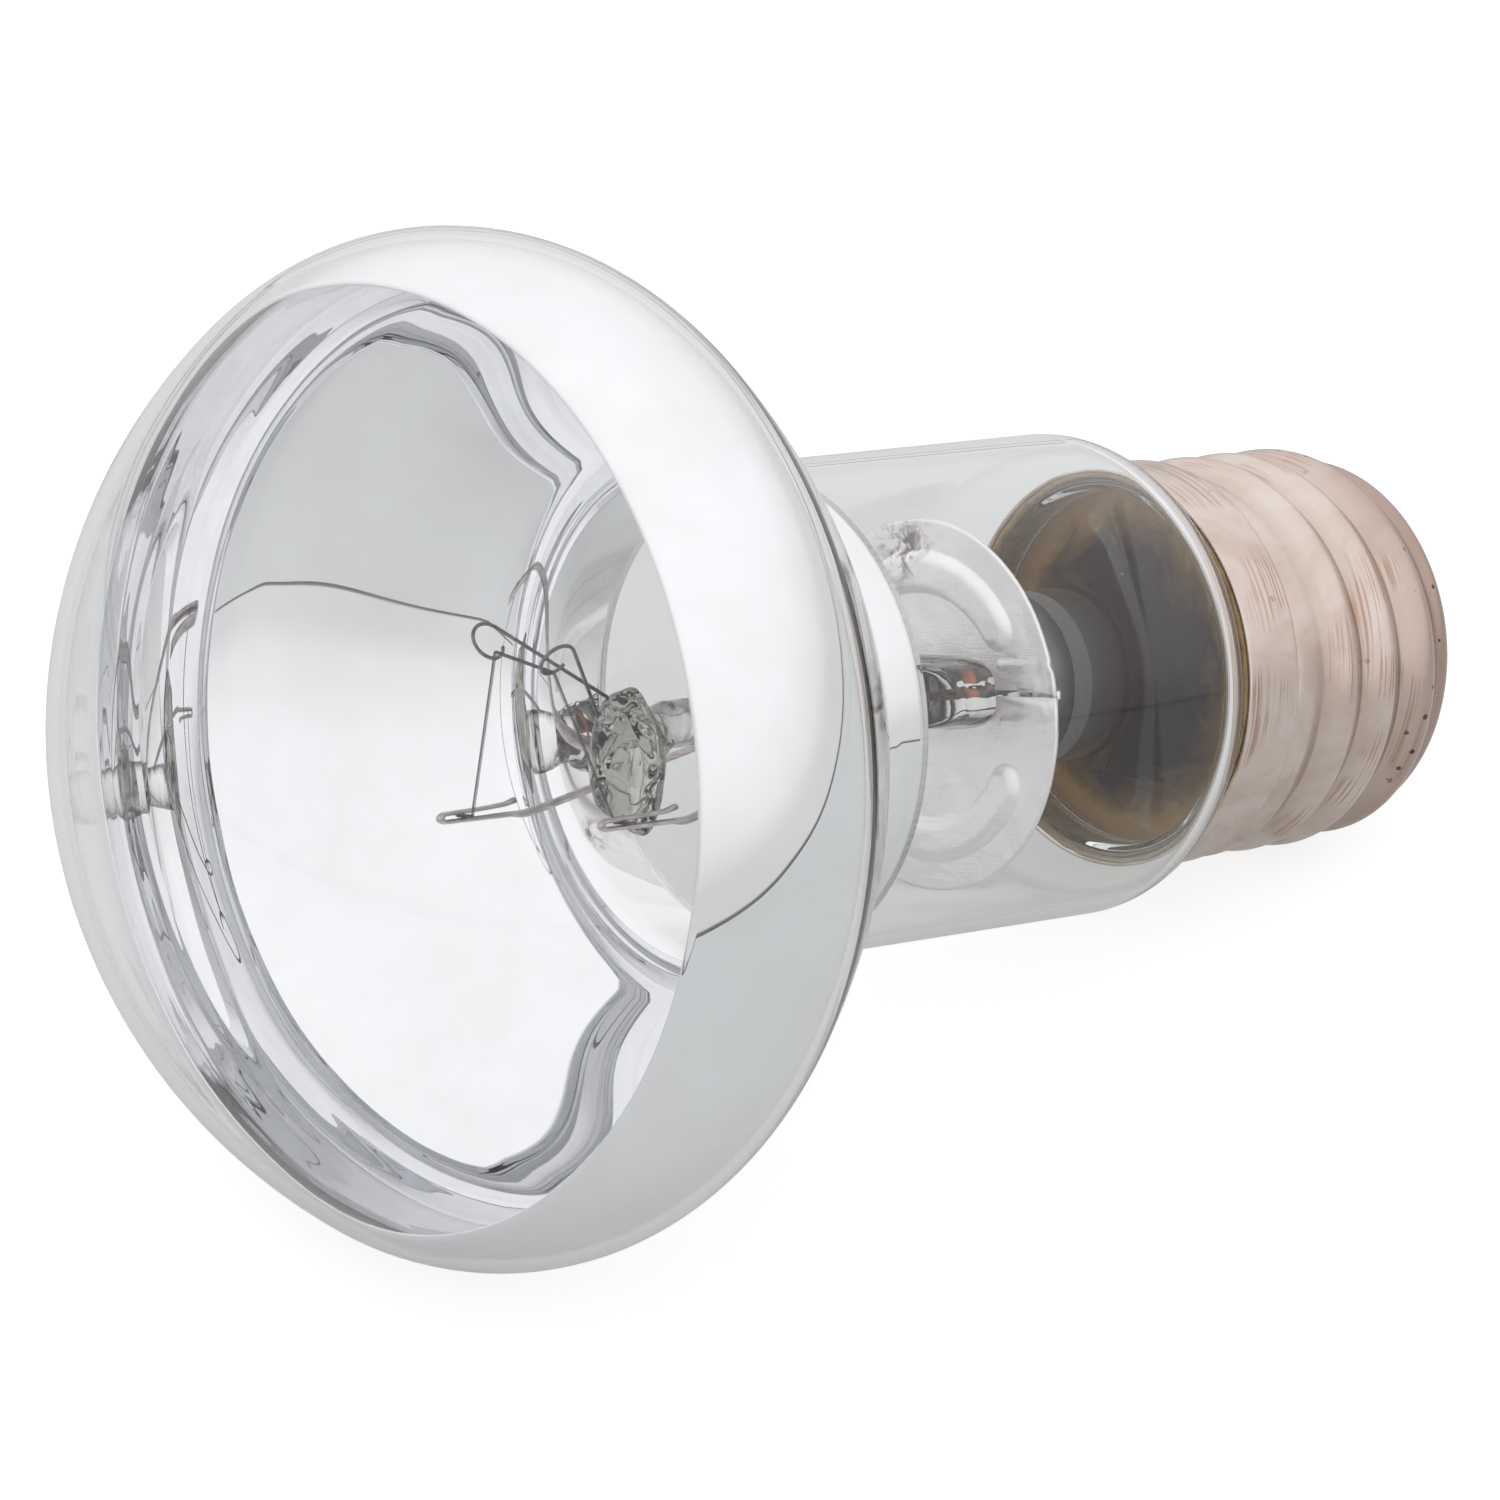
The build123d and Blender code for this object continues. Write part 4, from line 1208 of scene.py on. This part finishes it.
def make_camera():
    """Camera at the photograph's viewing angle."""
    azimuth = radians(CAMERA_AZIMUTH)
    elevation = radians(CAMERA_ELEVATION)
    right = Vector((cos(azimuth), sin(azimuth), 0.0))
    back = Vector((sin(azimuth) * cos(elevation), -cos(azimuth) * cos(elevation), sin(elevation)))
    up = back.cross(right)
    target = tip + along * edge_station * MM
    place = target + (right * CAMERA_OFFSET[0] + up * CAMERA_OFFSET[1] + back * CAMERA_OFFSET[2]) * MM
    bpy.ops.object.camera_add()
    camera = bpy.context.object
    camera.matrix_world = Matrix.Translation(place) @ Matrix((right, up, back)).transposed().to_4x4()
    camera.data.lens = CAMERA_LENS
    camera.data.sensor_width = CAMERA_SENSOR
    camera.data.clip_start = 0.01
    scene.camera = camera


def make_floor():
    """Plain white table, greyer in reflections than it looks, and with a near edge in them."""
    bpy.ops.object.select_all(action="DESELECT")
    bpy.ops.mesh.primitive_plane_add(size=FLOOR_SIZE, location=(0, 0, 0))
    table = bpy.context.object
    table.name = "table"
    material, tree, out = new_material("table_paper")
    place = node(tree, "ShaderNodeTexCoord").outputs["Object"]
    grain = clouds(tree, place, 900.0, 2.0)
    tone = ramp(tree, grain, (0.3, (0.325, 0.332, 0.335)), (0.7, (0.34, 0.347, 0.35)))
    paper = node(tree, "ShaderNodeBsdfDiffuse", {"Color": tone})
    straight = node(tree, "ShaderNodeLightPath").outputs["Is Camera Ray"]
    level = ramp(tree, straight, (0.0, TABLE_GLOW), (1.0, TABLE_GLOW + TABLE_LIFT))
    glow = node(tree, "ShaderNodeEmission", {"Color": level})
    seen = node(tree, "ShaderNodeAddShader", {0: paper.outputs["BSDF"], 1: glow.outputs["Emission"]})
    away = node(tree, "ShaderNodeVectorMath", {0: place}, operation="LENGTH").outputs["Value"]
    past = math(tree, "DIVIDE", math(tree, "SUBTRACT", away, TABLE_REACH), TABLE_REACH)
    edge = ramp(tree, past, (0.0, 0.12), (0.08, 0.2), (0.14, (0.78, 0.76, 0.77)))
    beyond = node(tree, "ShaderNodeEmission", {"Color": edge})
    bounced = math(tree, "SUBTRACT", 1.0, straight)
    hidden = math(tree, "MULTIPLY", math(tree, "GREATER_THAN", past, 0.0), bounced)
    whole = node(
        tree, "ShaderNodeMixShader", {0: hidden, 1: seen.outputs["Shader"], 2: beyond.outputs["Emission"]}
    )
    tree.links.new(whole.outputs["Shader"], out.inputs["Surface"])
    table.data.materials.append(material)


def make_light():
    """Soft white tent, whiter towards its top."""
    world = bpy.data.worlds.new("tent")
    scene.world = world
    world.use_nodes = True
    tree = world.node_tree
    tree.nodes.clear()
    out = tree.nodes.new("ShaderNodeOutputWorld")
    facing = node(tree, "ShaderNodeTexCoord").outputs["Generated"]
    height = node(tree, "ShaderNodeSeparateXYZ", {"Vector": facing}).outputs["Z"]
    level = share_of(tree, height, -1.0, 1.0)
    tent = ramp(
        tree,
        level,
        (0.5, (0.68, 0.66, 0.67)),
        (0.56, (0.82, 0.8, 0.81)),
        (0.7, (0.95, 0.935, 0.95)),
        (1.0, (1.0, 0.99, 1.0)),
    )
    light = node(tree, "ShaderNodeBackground", {"Color": tent, "Strength": TENT_STRENGTH})
    tree.links.new(light.outputs["Background"], out.inputs["Surface"])
    scene.view_settings.view_transform = "Standard"
    scene.cycles.max_bounces = LIGHT_BOUNCES
    scene.cycles.glossy_bounces = LIGHT_BOUNCES
    scene.cycles.transmission_bounces = LIGHT_BOUNCES


# The lamp, piece by piece

glass = clear_glass()
solder = plain_finish("solder", (0.62, 0.61, 0.6), (0.4, 0.39, 0.38), 0.9, 0.28, 0.5, 0.00005, 1.0)
lead_metal = wire_metal("lead_wire", (0.62, 0.58, 0.56), (0.4, 0.37, 0.36), 0.3, 0.5)
support_metal = wire_metal("support_wire", (0.3, 0.29, 0.29), (0.14, 0.135, 0.135), 0.35, 0.5)

finished(make_bulb(), glass, "clear_glass", "glass_bulb")
finished(make_film(), mirror_film(), "mirror_film", "mirror_film")
finished(make_stem(), None, "stem_glass", "glass_stem")
finished(make_shield(), shield_sheet(), "shield_sheet", "heat_shield")
for word, hand in (("near", 1), ("far", -1)):
    finished(make_lead(f"clamp_lead_{word}", hand), lead_metal, "lead_wire", f"lead_{word}")
    finished(make_support(f"loop_support_{word}", hand), support_metal, "support_wire", f"support_{word}")
tungsten = wire_metal("tungsten", (0.26, 0.25, 0.25), (0.12, 0.115, 0.115), 0.4, 0.55)
finished(make_filament(), tungsten, "tungsten", "filament")
finished(make_shell(), None, "cap_metal", "cap_shell")
black = plain_finish("insulator_glass", (0.02, 0.018, 0.02), (0.008, 0.007, 0.009), 0.5, 0.08, 0.2, 0.0001)
finished(make_insulator(), black, "insulator_glass", "cap_insulator")
brass = plain_finish("contact_metal", (0.68, 0.6, 0.45), (0.5, 0.42, 0.3), 0.5, 0.25, 0.4, 0.00004, 1.0)
finished(make_contact(), brass, "contact_metal", "end_contact")
finished(make_contact_solder(), solder, "solder", "contact_solder")
finished(make_skirt_solder(), solder, "solder", "skirt_solder")
cement = plain_finish("cement", (0.48, 0.34, 0.17), (0.28, 0.19, 0.09), 1.2, 0.7, 0.9, 0.0002)
finished(make_cement(), cement, "cement", "cap_cement")

# Wires that keep their solids: the near seal shows its copper, the others are browned
copper = seal_copper()
browned = wire_metal("browned_wire", (0.3, 0.2, 0.16), (0.13, 0.085, 0.07), 0.4, 0.6)
kept_wires = {"seal_near": copper, "seal_far": browned, "centre_lead": browned, "side_lead": browned}
for name, finish in kept_wires.items():
    kept = frame["nodes"][name].data.materials
    kept.clear()
    kept.append(finish)

make_camera()
make_floor()
make_light()
